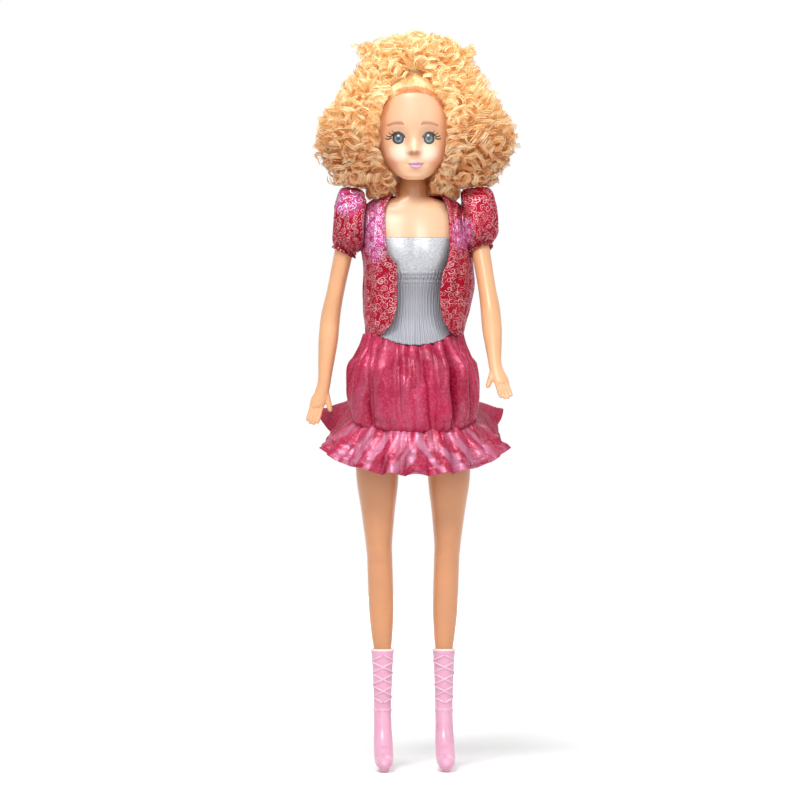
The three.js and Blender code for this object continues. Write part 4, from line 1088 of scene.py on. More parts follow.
NOSE = array([  # height, how far it stands out, and its half width
    (266.5, 0.0, 2.2), (264.0, 0.25, 2.3), (261.5, 0.8, 2.4), (259.8, 1.7, 2.5), (258.8, 2.7, 2.6),
    (258.2, 3.0, 2.7), (257.6, 2.5, 2.6), (256.9, 1.2, 2.4), (256.2, 0.25, 2.1), (255.4, 0.0, 1.8),
])
FACE_FORMS = (  # how far each stands out, its place out and up from the middle, and its half width and height
    (EYE_LEAN, EYE_Z, (
        (-0.95, EYE_X + 0.2, 0.6, 3.6, 2.9), (0.35, EYE_X, -0.1, 2.7, 2.3), (0.3, EYE_X, 5.85, 5.0, 2.2),
        (0.45, 2.2, -6.15, 0.9, 1.0), (0.6, 0, -15.75, 3.2, 1.9), (0.6, 8.0, -7.55, 3.2, 4.2),
    )),
    (LIPS_LEAN, LIPS_Z, (
        (-0.3, 0, 2.7, 2.4, 0.8), (0.7, 0, 0, 4.2, 2.2), (0.34, 0.95, 0.75, 1.7, 0.6), (0.5, 0, -0.75, 2.1, 0.75),
        (-0.42, 0, 0.2, 3.2, 0.34), (-0.4, 3.7, 0.6, 0.9, 0.9), (-0.3, 0, -2.6, 2.6, 0.9),
    )),
)


def face_relief(points):
    """Raises and sinks the forms of the face, and drops the chin a little."""
    x, y, z = np.moveaxis(points, -1, 0)
    aside = x - EYE_LEAN
    stands, half = (interp(z, NOSE[::-1, 0], NOSE[::-1, i]) for i in (1, 2))
    out = stands * np.exp(-abs(aside / half) ** 2.5)
    for lean, middle, forms in FACE_FORMS:
        for stands, across_it, up, wide, tall in forms:
            out += stands * hump(abs(x - lean), across_it, wide) * hump(z, middle + up, tall)
    chin = 0.7 * hump(aside, 0, 6) * ease(-y, 4, 11) * ease(z, 252, 248)
    return points - stack(0, out * ease(-y, 2, 8), chin)


# %% The face, its sprayed colour with painted shade and highlights, and the neck's seat
even = around(260)
head_rings = face_relief(rings_of(between(HEAD_KEYS, 16), even + 0.42 * sin(even + pi / 2)))
BLUSH_AND_PAINTED_LIGHT = (  # out, up, half width, half height, tint, strength
    # rows in pairs: cheek colour, painted shade above the eyes; painted shade beside the nose's bridge, painted
    # shadow under the nose; painted shade at the nose's sides, painted highlight on the cheeks; painted highlight
    # down the nose, painted shade under the lower lip
    (9.8, 254.4, 3.4, 3.2, (0.90, 0.34, 0.24), 0.5), (6.6, 266.9, 3.8, 2.0, (0.52, 0.23, 0.13), 0.3),
    (2.9, 263.6, 1.3, 2.4, (0.60, 0.26, 0.14), 0.38), (0.2, 257.35, 2.5, 0.95, (0.50, 0.17, 0.06), 0.85),
    (2.9, 258.9, 0.8, 2.2, (0.66, 0.30, 0.15), 0.3), (6.4, 257.8, 3.6, 3.0, (1.0, 0.86, 0.70), 0.75),
    (0.0, 260.6, 0.8, 3.0, (0.97, 0.80, 0.60), 0.5), (0.0, 249.4, 3.4, 1.0, (0.66, 0.30, 0.15), 0.25),
)


def blush_and_painted_light(where):
    """Soft spots of sprayed colour on both sides of the face, with painted shade and painted highlights among them.
    """
    x, y, z = split(where)
    aside, height, colour = calc("ABSOLUTE", out_of_middle(x, EYE_LEAN) / MM), z / MM, SKIN
    front = spread(y, float(MIDDLE[1]) - 0.006, float(MIDDLE[1]) - 0.009)
    for out, up, wide, tall, tint, strength in BLUSH_AND_PAINTED_LIGHT:
        u, v = (aside - out) / wide, (height - up) / tall
        colour = mix(spread(u * u + v * v, 2.4, 0.0, 0.0, strength) * front, colour, tint)
    # painted light: warmer and paler towards the sides of the face
    return mix(spread(aside, 8.5, 14.0, 0.0, 0.45), colour, (0.95, 0.56, 0.36))


# painted glow on the sides of the face and its lower part, standing in for light from the hair round it
def painted_side_glow(where):
    x, _, z = split(where)
    aside = calc("ABSOLUTE", out_of_middle(x, EYE_LEAN))
    return spread(aside, 0.006, 0.0135, 0.0, 0.15) + spread(z, 0.258, 0.249, 0.0, 0.06)


head_finish = vinyl("doll vinyl with blush", blush_and_painted_light, painted_side_glow)
head = piece("head_moulding", *loft(head_rings), head_finish)
hollows = [  # the neck's seat, the peg's hole, and the room for its knob
    bored(6.55, (0, 0, 240.5), (0, 0, 252.35), 5.65), bored(2.45, (0, 0, 250), (0, 0, 256)),
    bored(4.75, (0, 0, 254.5), (0, 0, 258.6)),
]
cut_away(head, *map(face_outwards, hollows))
dress(head, "head", "skin", "head_shell")
HEAD_TREE = BVHTree.FromObject(head, bpy.context.evaluated_depsgraph_get())


# %% [markdown]
# ## Painted face
# The eyes, lashes, brows and lips are pad printed, so each colour is a thin sheet that lies on the face,
# one layer over the next. A flat outline is filled with points, and every point is carried straight back
# onto the face.

# %% Ink layers that lie on the face
INK = 0.035  # thickness of a layer, and the step from one layer to the next


def seen_on_head(start, way, lift=0.0):
    """The place where a straight look meets the head, in millimetres, or None."""
    hit, normal, _, _ = HEAD_TREE.ray_cast(Vector(place(start)), Vector(way))
    return None if hit is None else (array(hit) - MIDDLE) / MM + array(normal) * lift


def on_face(flat, lift):
    return [seen_on_head((x, -40, z), (0, 1, 0), lift) for x, z in flat]


def ink_sheet(outline, layer, rings=5):
    """A filled outline as a thin closed sheet, and each point's place in its width and height."""
    middle, count = outline.mean(axis=0), len(outline)
    flat = (middle + (outline - middle) * linspace(1, 0.12, rings)[:, None, None]).reshape(-1, 2)
    edge = arange(count)
    grid, cap, after = grid_faces(rings, count, True), edge[None, :] + (rings - 1) * count, np.roll(edge, -1)
    rim = stack(after, edge, edge + len(flat), after + len(flat))
    faces = [grid, cap, grid[:, ::-1] + len(flat), cap[:, ::-1] + len(flat), rim]
    low, high = outline.min(axis=0), outline.max(axis=0)
    own_place = (flat - (high + low) / 2) / ((high - low) / 2)
    points = on_face(flat, INK * (layer + 1)) + on_face(flat, INK * 0.2)
    return array(points), faces, np.tile(own_place, (2, 1))


def printed_layer(name, outlines, layer, finish_of, rings=5):
    points, faces, flat = stacked(*(ink_sheet(outline, layer, rings) for outline in outlines))
    dress(face_outwards(piece(name, points, faces, finish_of, flat)), "head", "skin")


def oval(x, z, wide, tall, count=40):
    turn = around(count)
    return stack(x + wide * cos(turn), z + tall * sin(turn))


def stroke(points, width):
    """A tapering brush stroke through three points."""
    a, b, c = array(points)
    t = linspace(0, 1, 9)[:, None]
    line = (1 - t) ** 2 * a + 2 * (1 - t) * t * (2 * b - (a + c) / 2) + t**2 * c
    ahead = unit(gradient(line, axis=0))
    aside = stack(-ahead[:, 1], ahead[:, 0]) * (width / 2 * np.sqrt(clip(1.04 - t, 0, 1)))
    return concatenate([line - aside, (line + aside)[::-1]])


def rounded(outline, steps=4):
    """A closed outline with its corners eased by a curve through every point."""
    t = (arange(steps) / steps)[:, None]
    a, b, c, d = (np.roll(outline, back, 0)[:, None] for back in (1, 0, -1, -2))
    eased = 0.5 * (2 * b + (c - a) * t + (2 * a - 5 * b + 4 * c - d) * t**2 + (3 * b - a - 3 * c + d) * t**3)
    return eased.reshape(-1, 2)


def mirrored(outline):
    return outline[::-1] * (-1, 1)


def both(*outlines):
    """The doll's left eye or lashes, and the mirror image."""
    return [outline + (EYE_LEAN, 0) for outline in (*outlines, *map(mirrored, outlines))]


# %% Inks
def ink(name, colour, roughness=0.35, edge=None):
    made, shader = finish(name, Coat_Weight=0.3, Coat_Roughness=0.2)
    where = on_cloth()
    tone = noise(where, 3.0)
    shade = mix(spread(tone, 0.3, 0.7), [c * 0.88 for c in colour], colour)
    if edge:
        shade = mix(spread(calc("LENGTH", where), 0.45, 1.1), shade, edge)
    feed(shader, Base_Color=shade, Roughness=spread(tone, 0.3, 0.7, roughness - 0.04, roughness + 0.04))
    return made


def iris_ink():
    """Rings of colour round the pupil, broken by fine rays, and darker under the lid as painted shade."""
    made, shader = finish("iris inks", Coat_Weight=0.5, Coat_Roughness=0.12)
    where = on_cloth()
    reach = calc("LENGTH", where)
    x, z, _ = split(where)
    ray = node("ShaderNodeCombineXYZ", {0: calc("ARCTAN2", z, x) * 4.0})[0]
    rings = ramp(
        reach + (noise(ray, 3.0, 1) - 0.5) * 0.06, (0.0, (0.012, 0.016, 0.022)), (1.0, (0.010, 0.010, 0.010)),
        (0.22, (0.02, 0.035, 0.045)), (0.30, (0.10, 0.16, 0.19)), (0.42, (0.08, 0.13, 0.16)),
        (0.50, (0.17, 0.22, 0.23)), (0.60, (0.15, 0.20, 0.205)), (0.70, (0.05, 0.065, 0.07)),
        (0.80, (0.016, 0.018, 0.02)),
    )
    lid_shade = spread(z, 0.35, 1.0, 0.0, 0.5)
    feed(shader, Base_Color=mix(lid_shade, rings, (0.01, 0.01, 0.012)), Roughness=spread(reach, 0.0, 1.0, 0.2, 0.3))
    return made


# %% Eyes
eye = (EYE_X, EYE_Z)
white = array([
    (-2.72, -0.5), (-2.45, 0.65), (-1.75, 1.75), (-0.7, 2.35), (0.5, 2.4), (1.6, 1.85), (2.3, 1.0),
    (2.75, 0.15), (2.35, -0.95), (1.6, -1.8), (0.45, -2.35), (-0.75, -2.3), (-1.75, -1.75), (-2.4, -1.1),
]) + eye
printed_layer("eye_whites", both(rounded(white)), 0, ink("eye white ink", (0.84, 0.74, 0.64), 0.25))
printed_layer("irises", both(oval(*eye, 2.36, 2.42)), 1, iris_ink(), 9)
lid = array([
    (-2.95, 0.1), (-2.6, 1.2), (-1.8, 2.2), (-0.65, 2.82), (0.6, 2.9), (1.8, 2.42), (2.7, 1.58),
    (3.3, 0.75), (2.6, 0.95), (1.7, 1.8), (0.6, 2.35), (-0.55, 2.28), (-1.6, 1.75), (-2.35, 0.9),
]) + eye
lid_ink = ink("lid and lash ink", (0.05, 0.028, 0.022), 0.4)
printed_layer("lid_lines", both(rounded(lid)), 2, lid_ink, 3)
lashes = [stroke(points, width) for *points, width in (
    ((8.9, 263.95), (10.5, 263.35), (11.7, 264.0), 0.4), ((8.9, 264.7), (10.3, 264.4), (11.3, 265.2), 0.36),
    ((8.5, 265.4), (9.6, 265.5), (10.3, 266.3), 0.3), ((7.7, 266.0), (8.5, 266.4), (9.0, 267.0), 0.26),
)]
printed_layer("lashes", both(*lashes), 2, lid_ink, 3)
glints = [oval(EYE_LEAN + x, EYE_Z + up, 0.46, 0.5, 20) for x, up in ((EYE_X - 0.35, 1.3), (0.05 - EYE_X, 1.15))]
printed_layer("eye_glints", glints, 3, ink("white glint ink", (0.93, 0.93, 0.93), 0.2), 3)
small = oval(EYE_X - 0.55, EYE_Z - 1.15, 0.24, 0.26, 14)
printed_layer("eye_small_glints", both(small), 3, ink("pale glint ink", (0.42, 0.47, 0.46), 0.25), 3)


# %% Brows: nine short slanting strokes each
brow = []
for side, inner, outer in ((-1, 4.45, 10.3), (1, 3.3, 9.7)):
    for i in range(9):
        share = i / 8
        x = inner + (outer - inner) * share
        z = 270.0 + 0.35 * math.sin(pi * share) - 0.75 * share**2
        tall = 0.85 - 0.5 * share**2
        drawn = stroke([(x - 0.15, z - tall), (x + 0.3, z), (x + 0.75, z + tall - 0.2 * share)], 0.5)
        brow.append((drawn if side > 0 else mirrored(drawn)) + (EYE_LEAN, 0))
printed_layer("brows", brow, 0, ink("brow ink", (0.48, 0.13, 0.085), 0.45), 3)


# %% Lips
upper = array([
    (-3.25, 0.72), (-2.4, 0.95), (-1.5, 1.22), (-0.8, 1.32), (0, 1.15), (0.85, 1.36), (1.6, 1.28),
    (2.5, 1.08), (3.4, 0.95), (2.4, 0.58), (1.2, 0.3), (0, 0.22), (-1.2, 0.27), (-2.3, 0.5),
])
lower = array([
    (-2.95, 0.6), (-2.2, 0.46), (-1.1, 0.24), (0, 0.18), (1.1, 0.26), (2.3, 0.54), (3.05, 0.8),
    (2.6, -0.15), (1.9, -0.85), (1.0, -1.28), (0, -1.4), (-1.0, -1.28), (-1.9, -0.85), (-2.5, -0.2),
])
# the lower lip is printed paler than the upper, with a darker edge: a painted highlight across the lower lip
for name, lip, *look in (
    ("upper", upper, (0.58, 0.26, 0.40), 0.3), ("lower", lower, (0.78, 0.42, 0.56), 0.2, (0.64, 0.30, 0.42)),
):
    outline = rounded((lip + (LIPS_LEAN, LIPS_Z))[::-1])
    printed_layer(f"{name}_lip", [outline], 0, ink(f"{name} lip ink", *look), 6)


# %% [markdown]
# ## Making cloth
# Every garment is a sheet: rows and columns of points that wrap the body, each with its place in the flat
# cloth. A solidify modifier gives the cloth its thickness, and the size and area of each sheet are printed.

# %% Sheets of cloth
def flat_measure(grid):
    """Each point's place in the flat cloth, across and down."""
    u, v = distance(grid, 1), distance(grid)
    u -= u[:, u.shape[1] // 2][:, None]
    typical = linspace(0, 1, u.shape[1]) * u[:, -1].mean() * 2
    return stack(0.4 * u + 0.6 * (typical - typical.mean()), v.mean(axis=1, keepdims=True))


def outward_normals(grid, wrap=False, middle=(0, 0, 0)):
    """The way each point of a sheet faces, away from the middle."""
    across = np.roll(grid, -1, 1) - np.roll(grid, 1, 1) if wrap else gradient(grid, axis=1)
    made = unit(cross(across, gradient(grid, axis=0)))
    return made if ((grid - middle) * made)[..., : 3 if wrap else 2].sum() > 0 else -made


def cloth(name, grid, finish_of, thickness_mm=0.35, wrap=False, flat=None):
    flat = flat_measure(grid) if flat is None else flat
    if wrap:  # repeat the first column, so that the flat cloth has two edges
        grid = concatenate([grid, grid[:, :1]], axis=1)
        flat = concatenate([flat, flat[:, -1:] + (flat[:, -1:] - flat[:, -2:-1])], axis=1)
    made = piece(name, grid.reshape(-1, 3), [grid_faces(*grid.shape[:2])], finish_of, flat.reshape(-1, 2))
    wide, long = distance(grid, 1)[:, -1], distance(grid)[-1]
    area = np.linalg.norm(cross(diff(grid, axis=1)[:-1], diff(grid, axis=0)[:, :-1]), axis=2).sum()
    ends = [f"{measure.min():.0f} to {measure.max():.0f}" for measure in (wide, long)]
    print(f"{name}: {ends[0]} mm across, {ends[1]} down, {area:.0f} mm2")
    return modify(made, "SOLIDIFY", thickness=thickness_mm * MM, offset=0.0)


def soft_noise(shape, seed, steps=(5, 9), strength=(1.0, 0.5)):
    """A smooth random field over a grid, the same on every run."""
    chance = np.random.default_rng(seed)
    total = zeros(shape)
    for step, share in zip(steps, strength):
        coarse = chance.normal(size=(step + 3, step * 2 + 3))
        row, column = linspace(1, step, shape[0])[:, None], linspace(1, step * 2, shape[1])
        r, c = row.astype(int), column.astype(int)
        down, across = ease(row - r, 0, 1), ease(column - c, 0, 1)
        above, below = (coarse[at, c] * (1 - across) + coarse[at, c + 1] * across for at in (r, r + 1))
        total += share * (above * (1 - down) + below * down)
    return total


# %% [markdown]
# ## Silver bodice
# A tube of knit, open down the back where the hook and loop tape closes it. Its top third is smooth and
# glittery, a band of shirring draws it in below the bust, and the rest falls in fine upright ribs to a hem
# that dips at the front.

# %% Bodice
BODICE_TOP = 222.5
HEM_FRONT, HEM_SIDE = 177.7, 183.0
SHIRR_Z = 205.6


def torso_at(turn, z, off):
    """Points that lie a little way off the torso, at each angle and height."""
    sections = section_at(TORSO, z)
    c, s = squared(turn)
    deep = np.where(s > 0, sections[..., 5], sections[..., 4])
    return stack(c * (sections[..., 3] + off), s * (deep + off), z)


def hem_at(x, back):
    """Height of the bodice's hem: an arc at the front, level round the sides and back."""
    return HEM_FRONT + (HEM_SIDE - HEM_FRONT) * np.where(back, 1, clip(abs(x) / 16.0, 0, 1) ** 2)


def bodice_grid():
    rows, columns = 115, 420
    turn = linspace(pi / 2 + 0.17, pi * 2.5 - 0.17, columns)
    t = linspace(0, 1, rows)[:, None]
    front = ease(-sin(turn), -0.1, 1.0)[None, :]
    hem = hem_at(18.5 * abs(cos(turn)) ** 0.9, sin(turn) > 0)[None, :]
    z = BODICE_TOP - 0.25 * front + 0.12 * sin(turn * 47) + (hem - BODICE_TOP) * t
    off = 0.85 + (0.5 + 0.8 * front) * ease(z, 190, 180)
    ribs = 0.06 * sin(turn * 74 + 0.7 * sin(turn * 9 + z * 0.2)) * (ease(z, SHIRR_Z, SHIRR_Z - 3))
    shirr = 0.16 * sin(z * 2 * pi / 1.9) * hump(z, SHIRR_Z, 2.8) * (1 + 0.5 * sin(turn * 31))
    pucker = 0.12 * sin(turn * 66 + sin(z * 1.3)) * hump(z, SHIRR_Z + 0.4, 3.2)
    drape = 0.25 * sin(turn * 11 + 1.2) * ease(z, 196, 183)
    edge = 0.16 * hump(z, BODICE_TOP - 0.7, 0.5) + 0.14 * hump(t, 0.985, 0.012)
    swell = off + ribs + shirr + pucker + drape + edge - 0.35 * hump(z, SHIRR_Z, 1.8)
    grid = pressed_in(torso_at(turn, z, swell), 0.78)
    flat_u = (turn - pi * 1.5)[None, :] * 17.0 * (0.55 + 0.45 * (section_at(TORSO, z)[..., 3] + off) / 18.5)
    return grid[:, ::-1], stack(flat_u, z - HEM_SIDE + 9.0)[:, ::-1]


grid, flat = bodice_grid()
bodice = cloth("bodice_knit", grid, knit_finish, 0.4, flat=flat)
dress(bodice, "torso", "silver_knit", "bodice")


# %% [markdown]
# ## Skirt
# Two tiers of satin. The upper tier is gathered small at the waist, swells into long soft folds, and is
# gathered again at the seam. The flounce is cut longer than that seam, so it springs out into ruffles.
# Each tier is made in two halves that meet on the middle line.

# %% Folds that wander, so that no two are alike
WAIST_SEAM_Z = 178.6


def folds(turn, t, layers, seed, drift):
    """Rounded folds with narrow valleys; each layer has its own count and strength."""
    chance = np.random.default_rng(seed)
    total = zeros(np.broadcast_shapes(turn.shape, t.shape))
    warp = 0.10 * sin(2 * turn + 1.0) + 0.055 * sin(5 * turn + 2.2) + 0.02 * sin(11 * turn)
    for count, strength in layers:
        start, lean = chance.uniform(0, 2 * pi), chance.uniform(-drift, drift)
        full = 0.7 + 0.3 * sin(turn * chance.integers(2, 7) + chance.uniform(0, 6))
        sway = lean * t * sin(turn * chance.integers(1, 4) + chance.uniform(0, 6))
        phase = count * (turn + warp) + start + sway
        total = total + strength * full * (2 * abs(cos(phase / 2)) ** 0.8 - 1.25)
    return total


def half_of(side, rows, columns):
    """Shares down a garment, and angles from front to back round one side of the body."""
    turn = -pi / 2 + side * linspace(0, pi, columns)[None, :]
    return linspace(0, 1, rows)[:, None], turn


_, _, _, wide, front, back, _ = section_at(TORSO, WAIST_SEAM_Z)
SKIRT = between(
    [
        key(179.5, wide + 0.9, front + 0.9, back + 0.9), key(175.5, wide + 2.4, front + 2.6, back + 2.6, pitch=1.5),
        key(172.4, 23.5, 16.9, 18.2, pitch=3.3), key(168.68, 25.3, 18.8, 19.8, pitch=5.4),
        key(161.55, 26.5, 20.7, 21.0, pitch=10.0), key(153.8, 27.0, 21.0, 21.0, pitch=15.0),
        key(149.77, 26.8, 20.2, 20.2, pitch=17.8), key(147.6, 26.0, 19.2, 19.2, pitch=19.0),
    ],
    24,
)


def seam_lift(y):
    """The seam steps up behind, where the hips hold it."""
    return 4.5 * ease(y, -3, 9) + 0.08 * clip(y, 0, None)


def tier_grid(side):
    t, turn = half_of(side, 150, 300)
    near_top, near_seam = ease(t, 0.3, 0.0), ease(t, 0.68, 0.97)
    swell = folds(turn, t, (
        (27, 1.0 * ease(t, 0.0, 0.09) * ease(t, 0.8, 0.12)), (14, 2.1 * ease(t, 0.04, 0.35) * (1 - 0.55 * near_seam)),
        (9, 0.6 * ease(t, 0.05, 0.5) * (1 - 0.6 * near_seam)),
        (20, 1.3 * ease(t, 0.03, 0.25) * (1 - 0.5 * near_seam)),
        (38, 0.34 * near_top * ease(t, 0, 0.04) + 0.62 * near_seam), (46, 0.5 * near_seam),
    ), 11, 3.4)
    swell = swell * (1 - 0.5 * abs(cos(turn)) ** 6 * ease(t, 0.35, 0.7)) + 0.3  # less room beside the hips
    crushed = 0.55 * soft_noise(swell.shape, 13, (6, 12), (1.0, 0.7))
    swell = swell + crushed * sin(pi * t) - 0.9 * ease(t, 0.965, 1.0)
    row = t[:, 0] * (len(SKIRT) - 1)
    rows = np.stack([interp(row, arange(len(SKIRT)), column) for column in SKIRT.T], -1)
    grid = rings_of(rows, turn, swell=swell)
    hem = hem_at(grid[:1, :, 0], grid[:1, :, 1] > 0)
    grid[..., 2] += (hem + 1.4 - WAIST_SEAM_Z) * ease(t, 0.3, 0.0) + seam_lift(grid[..., 1]) * t**3
    body = torso_at(turn, grid[..., 2], 0.45)
    short = clip(np.hypot(body[..., 0], body[..., 1]) / np.hypot(grid[..., 0], grid[..., 1]), 1, None)
    grid[..., :2] *= short[..., None]
    tucked = torso_at(turn, grid[..., 2], 0.6 + 0.12 * sin(40 * turn))
    return grid + (tucked - grid) * ease(grid[..., 2], hem - 0.9, hem + 0.3)[..., None]


FLOUNCE = array([  # how far round from the front, then how far the hem stands out and falls there
    (0.0, 7.0, 18.0), (0.55, 8.0, 17.4), (1.05, 11.0, 15.0), (1.33, 12.8, 12.0), (1.62, 8.0, 13.5),
    (1.92, 14.0, 4.5), (2.4, 9.5, 12.0), (pi, 8.5, 15.0),
])


def flounce_grid(side):
    t, turn = half_of(side, 90, 420)
    seam = rings_of(SKIRT[-1:], turn, swell=-0.9)
    seam[..., 2] += seam_lift(seam[..., 1])
    away = abs(turn + pi / 2)
    stand, fall = (interp(away, FLOUNCE[:, 0], FLOUNCE[:, i]) for i in (1, 2))
    out = unit(stack(cos(turn) / 26.0, sin(turn) / 21.0, 0))
    near_seam = ease(t, 0.4, 0.0)
    ruffle = folds(turn, t, ((21, t**1.1), (13, 0.45 * t)), 33, 1.9)
    ruffle = ruffle + 0.3 * abs(soft_noise(ruffle.shape, 36, (3, 9), (0.5, 1.0))) * t
    gathers = folds(turn, t, ((56, 0.34 * near_seam * ease(t, 0, 0.06)), (43, 0.3 * near_seam)), 34, 0.3)
    leave = ease(t, 0, 0.12)
    reach = stand * t**0.85 + 2.3 * ruffle + gathers + 1.2 * leave
    grid = seam + out * reach[..., None]
    flutter = 0.9 * ruffle + 0.5 * soft_noise(ruffle.shape, 35, (2, 4))
    grid[..., 2] += 1.2 - fall * t**1.08 - 1.2 * leave + flutter * t**1.3
    return grid


# %% The gathered waist inside the bodice hem
turn, t = around(260), linspace(0, 1, 12)[:, None]
swell = 0.3 + 0.06 * sin(turn * 44 + 2 * sin(turn * 5)) + 0.1 * sin(pi * t)
band = cloth("waist_band", torso_at(turn, 181.2 - 2.3 * t, swell)[:, ::-1], satin_finish, wrap=True)
dress(band, "torso", "satin", "waist_elastic")


# %% Each skirt half's place, baked into its points
def follow_leg(made, name):
    """Bakes the half's place into its points, and works out a weight for the front and sides of the thigh that is not
    used.
    """
    place([0, 0, 176])
    place([0, 0, 140])
    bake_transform(made)
    x, y, z = points_of(made).T
    weight = ease(z, 171, 146) * ease(abs(x), 0, 9) * ease(y, 14, -12)


for name, side in SIDES.items():
    for kind, grid, finish_of, flat_size, rests_on, goes_with in (
        ("tier", tier_grid(side), satin_finish, (0.094, 0.036), "torso", [band] if name == "right" else []),
        ("flounce", flounce_grid(side), flounce_finish, (0.136, 0.0145), f"skirt_tier_{name}", []),
    ):
        half = cloth(f"skirt_{kind}_{name}", grid[:, ::-side], finish_of, 0.4)
        ends = array([edge.vertices[:] for edge in half.data.edges]).T % grid.shape[1]
        # along the middle line, the shading doesn't bend
        cut = (ends[0] == ends[1]) & np.isin(ends[0], (0, grid.shape[1] - 1))
        half.data.attributes.new("sharp_edge", "BOOLEAN", "EDGE").data.foreach_set("value", cut)
        dress(half, None, "satin", f"skirt_{kind}")
        follow_leg(half, name)
        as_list(goes_with)


# %% [markdown]
# ## Jacket
# A short open jacket of printed cloth: a back and two fronts that meet at the shoulders and side seams.
# The fronts are cut back in a curve, narrowest at the bust. Each panel is a grid whose sides follow its
# cut edges, and a little extra height along an edge is the turned hem.

# %% The jacket's own sections, hanging clear of the body
JACKET_HEM = 181.4


def worn(z, off, at=None):
    _, _, _, wide, deep, back, _ = section_at(TORSO, z if at is None else at)
    return key(z, wide + off, deep + off, back + off)


JACKET = between(
    [
        key(JACKET_HEM, 20.0, 15.2, 15.6, x=0.4), key(186.5, 20.7, 15.8, 15.0, x=0.75),
        key(193.4, 22.0, 16.2, 14.2, x=1.4), key(204, 22.85, 18.0, 13.6, x=2.4),
        key(212, 22.75, 19.4, 14.0, x=1.8), key(217.5, 22.9, 19.0, 14.2, x=1.2),
        worn(SHOULDER_Z, 2.1), worn(236.5, 2.0), worn(239.4, 1.8, 238.2), worn(240.2, 1.3, 239.0),
    ],
    14,
)
# the inner edge of each front: height, then how far out it is
FRONT_EDGE = {
    "right": [
        (181.4, 17.0), (181.9, 13.8), (184.4, 11.1), (187.7, 9.0), (192.8, 7.6), (197.8, 7.3), (207.0, 7.5),
        (211.6, 7.9), (213.2, 10.4), (216.3, 11.7), (223.0, 12.5), (232.0, 12.5), (236.5, 11.6), (240.2, 9.6),
    ],
    "left": [
        (181.4, 18.8), (181.8, 16.0), (183.5, 14.1), (187.7, 11.6), (192.8, 10.4), (197.8, 9.9), (202.9, 10.6),
        (207.9, 11.6), (211.3, 13.7), (217.1, 14.8), (225.5, 14.5), (232.0, 14.2), (236.5, 13.2), (240.2, 11.2),
    ],
}
ARMHOLE_RADIUS, ARMHOLE_X = 13.1, 20.9


def jacket_points(z, turn):
    middle, _, _, wide, deep, back, _ = np.moveaxis(section_at(JACKET, z), -1, 0)
    c, s = squared(turn)
    return pressed_in(stack(middle + c * wide, s * np.where(s > 0, back, deep), z), 0.25)


def turn_at_x(z, x, side):
    """The angle, from the front or back middle, at which the jacket is x out on one side."""
    sections = section_at(JACKET, z)
    share = clip((x - side * sections[..., 0]) / sections[..., 3], 0, 1)
    return pi / 2 - np.arccos(share ** (SECTION_POWER / 2))


def armhole_turn(z, side, back):
    """The angle where the armhole cuts the jacket, or that of the side seam below it."""
    away = np.sqrt(clip(ARMHOLE_RADIUS**2 - (z - SHOULDER_Z) ** 2, 0, None))[:, None]
    sections = section_at(JACKET, z)
    reaches = sections[:, 3] + side * sections[:, 0] > ARMHOLE_X
    turns = linspace(turn_at_x(z, ARMHOLE_X, side), pi / 2, 60, axis=1)
    points = jacket_points(z[:, None], (pi / 2 - side * turns) * (1 if back else -1))
    cut = abs(points[..., 1]) < away
    return np.where(cut.any(axis=1) & reaches, turns[arange(len(z)), cut.argmax(axis=1)], pi / 2)


def hemmed(grid, edges, roll=0.24, reach=1.3):
    """Lifts the cloth a little along its turned edges."""
    lift = zeros(grid.shape[:2])
    for edge in edges:
        border = {"low": grid[-1:], "high": grid[:1], "first": grid[:, :1], "last": grid[:, -1:]}[edge]
        away = np.linalg.norm(grid - border, axis=2)
        lift = np.maximum(lift, roll * ease(away, reach, reach * 0.75))
    return grid + outward_normals(grid) * lift[..., None]


def wavy(grid, seed, strength):
    return grid + outward_normals(grid) * (strength * soft_noise(grid.shape[:2], seed, (4, 7)))[..., None]


def clear_of_sleeve(grid):
    """The shoulder is drawn in a little where the gathered sleeve is sewn to it."""
    x, y, z = np.moveaxis(grid, -1, 0)
    return grid - stack(0, np.sign(y) * 0.5 * ease(abs(x), 17.5, 20.5) * ease(z, 214, 220), 0)


# %% Jacket fronts
def front_grid(name):
    side = SIDES[name]
    height = concatenate([linspace(JACKET_HEM, 186, 46)[:-1], linspace(186, 240.2, 125)])
    inner = interp(height, *array(FRONT_EDGE[name]).T)
    inner = np.where(height > 186, smoothed(inner, 2), inner)
    start, end = turn_at_x(height, inner, side), armhole_turn(height, side, False)
    share = linspace(0, 1, 64)[None, :]
    turn = start[:, None] + (end - start)[:, None] * share
    grid = jacket_points(height[:, None], -pi / 2 + side * turn)
    grid = wavy(clear_of_sleeve(grid), 51 + side, 0.34)
    grid[..., 1] -= 0.7 * hump(height, 190, 6)[:, None] * (1 - share) ** 2
    grid = hemmed(grid[::-1], ("low", "first"))
    return grid if side < 0 else grid[:, ::-1]


for name in SIDES:
    panel = cloth(f"jacket_front_{name}_panel", front_grid(name)[:, ::-1], jacket_finish, 0.45)
    dress(panel, "torso", "jacket", f"jacket_front_{name}")


# %% Jacket back
def back_grid():
    height = linspace(JACKET_HEM, 240.2, 170)
    share = linspace(-1, 1, 150)[None, :]
    end = np.where(share > 0, armhole_turn(height, -1, True)[:, None], armhole_turn(height, 1, True)[:, None])
    turn = pi / 2 + share * end
    grid = jacket_points(height[:, None], turn)
    grid = wavy(clear_of_sleeve(grid), 57, 0.3)
    for at in (-0.42, 0.42):  # two darts shape the back
        grid[..., 1] -= 0.45 * hump(share, at, 0.012) * ease(height, 228, 215)[:, None]
    return hemmed(grid[::-1], ("low", "high"))


back = cloth("jacket_back_panel", back_grid()[:, ::-1], jacket_finish, 0.45)
dress(back, "torso", "jacket", "jacket_back")


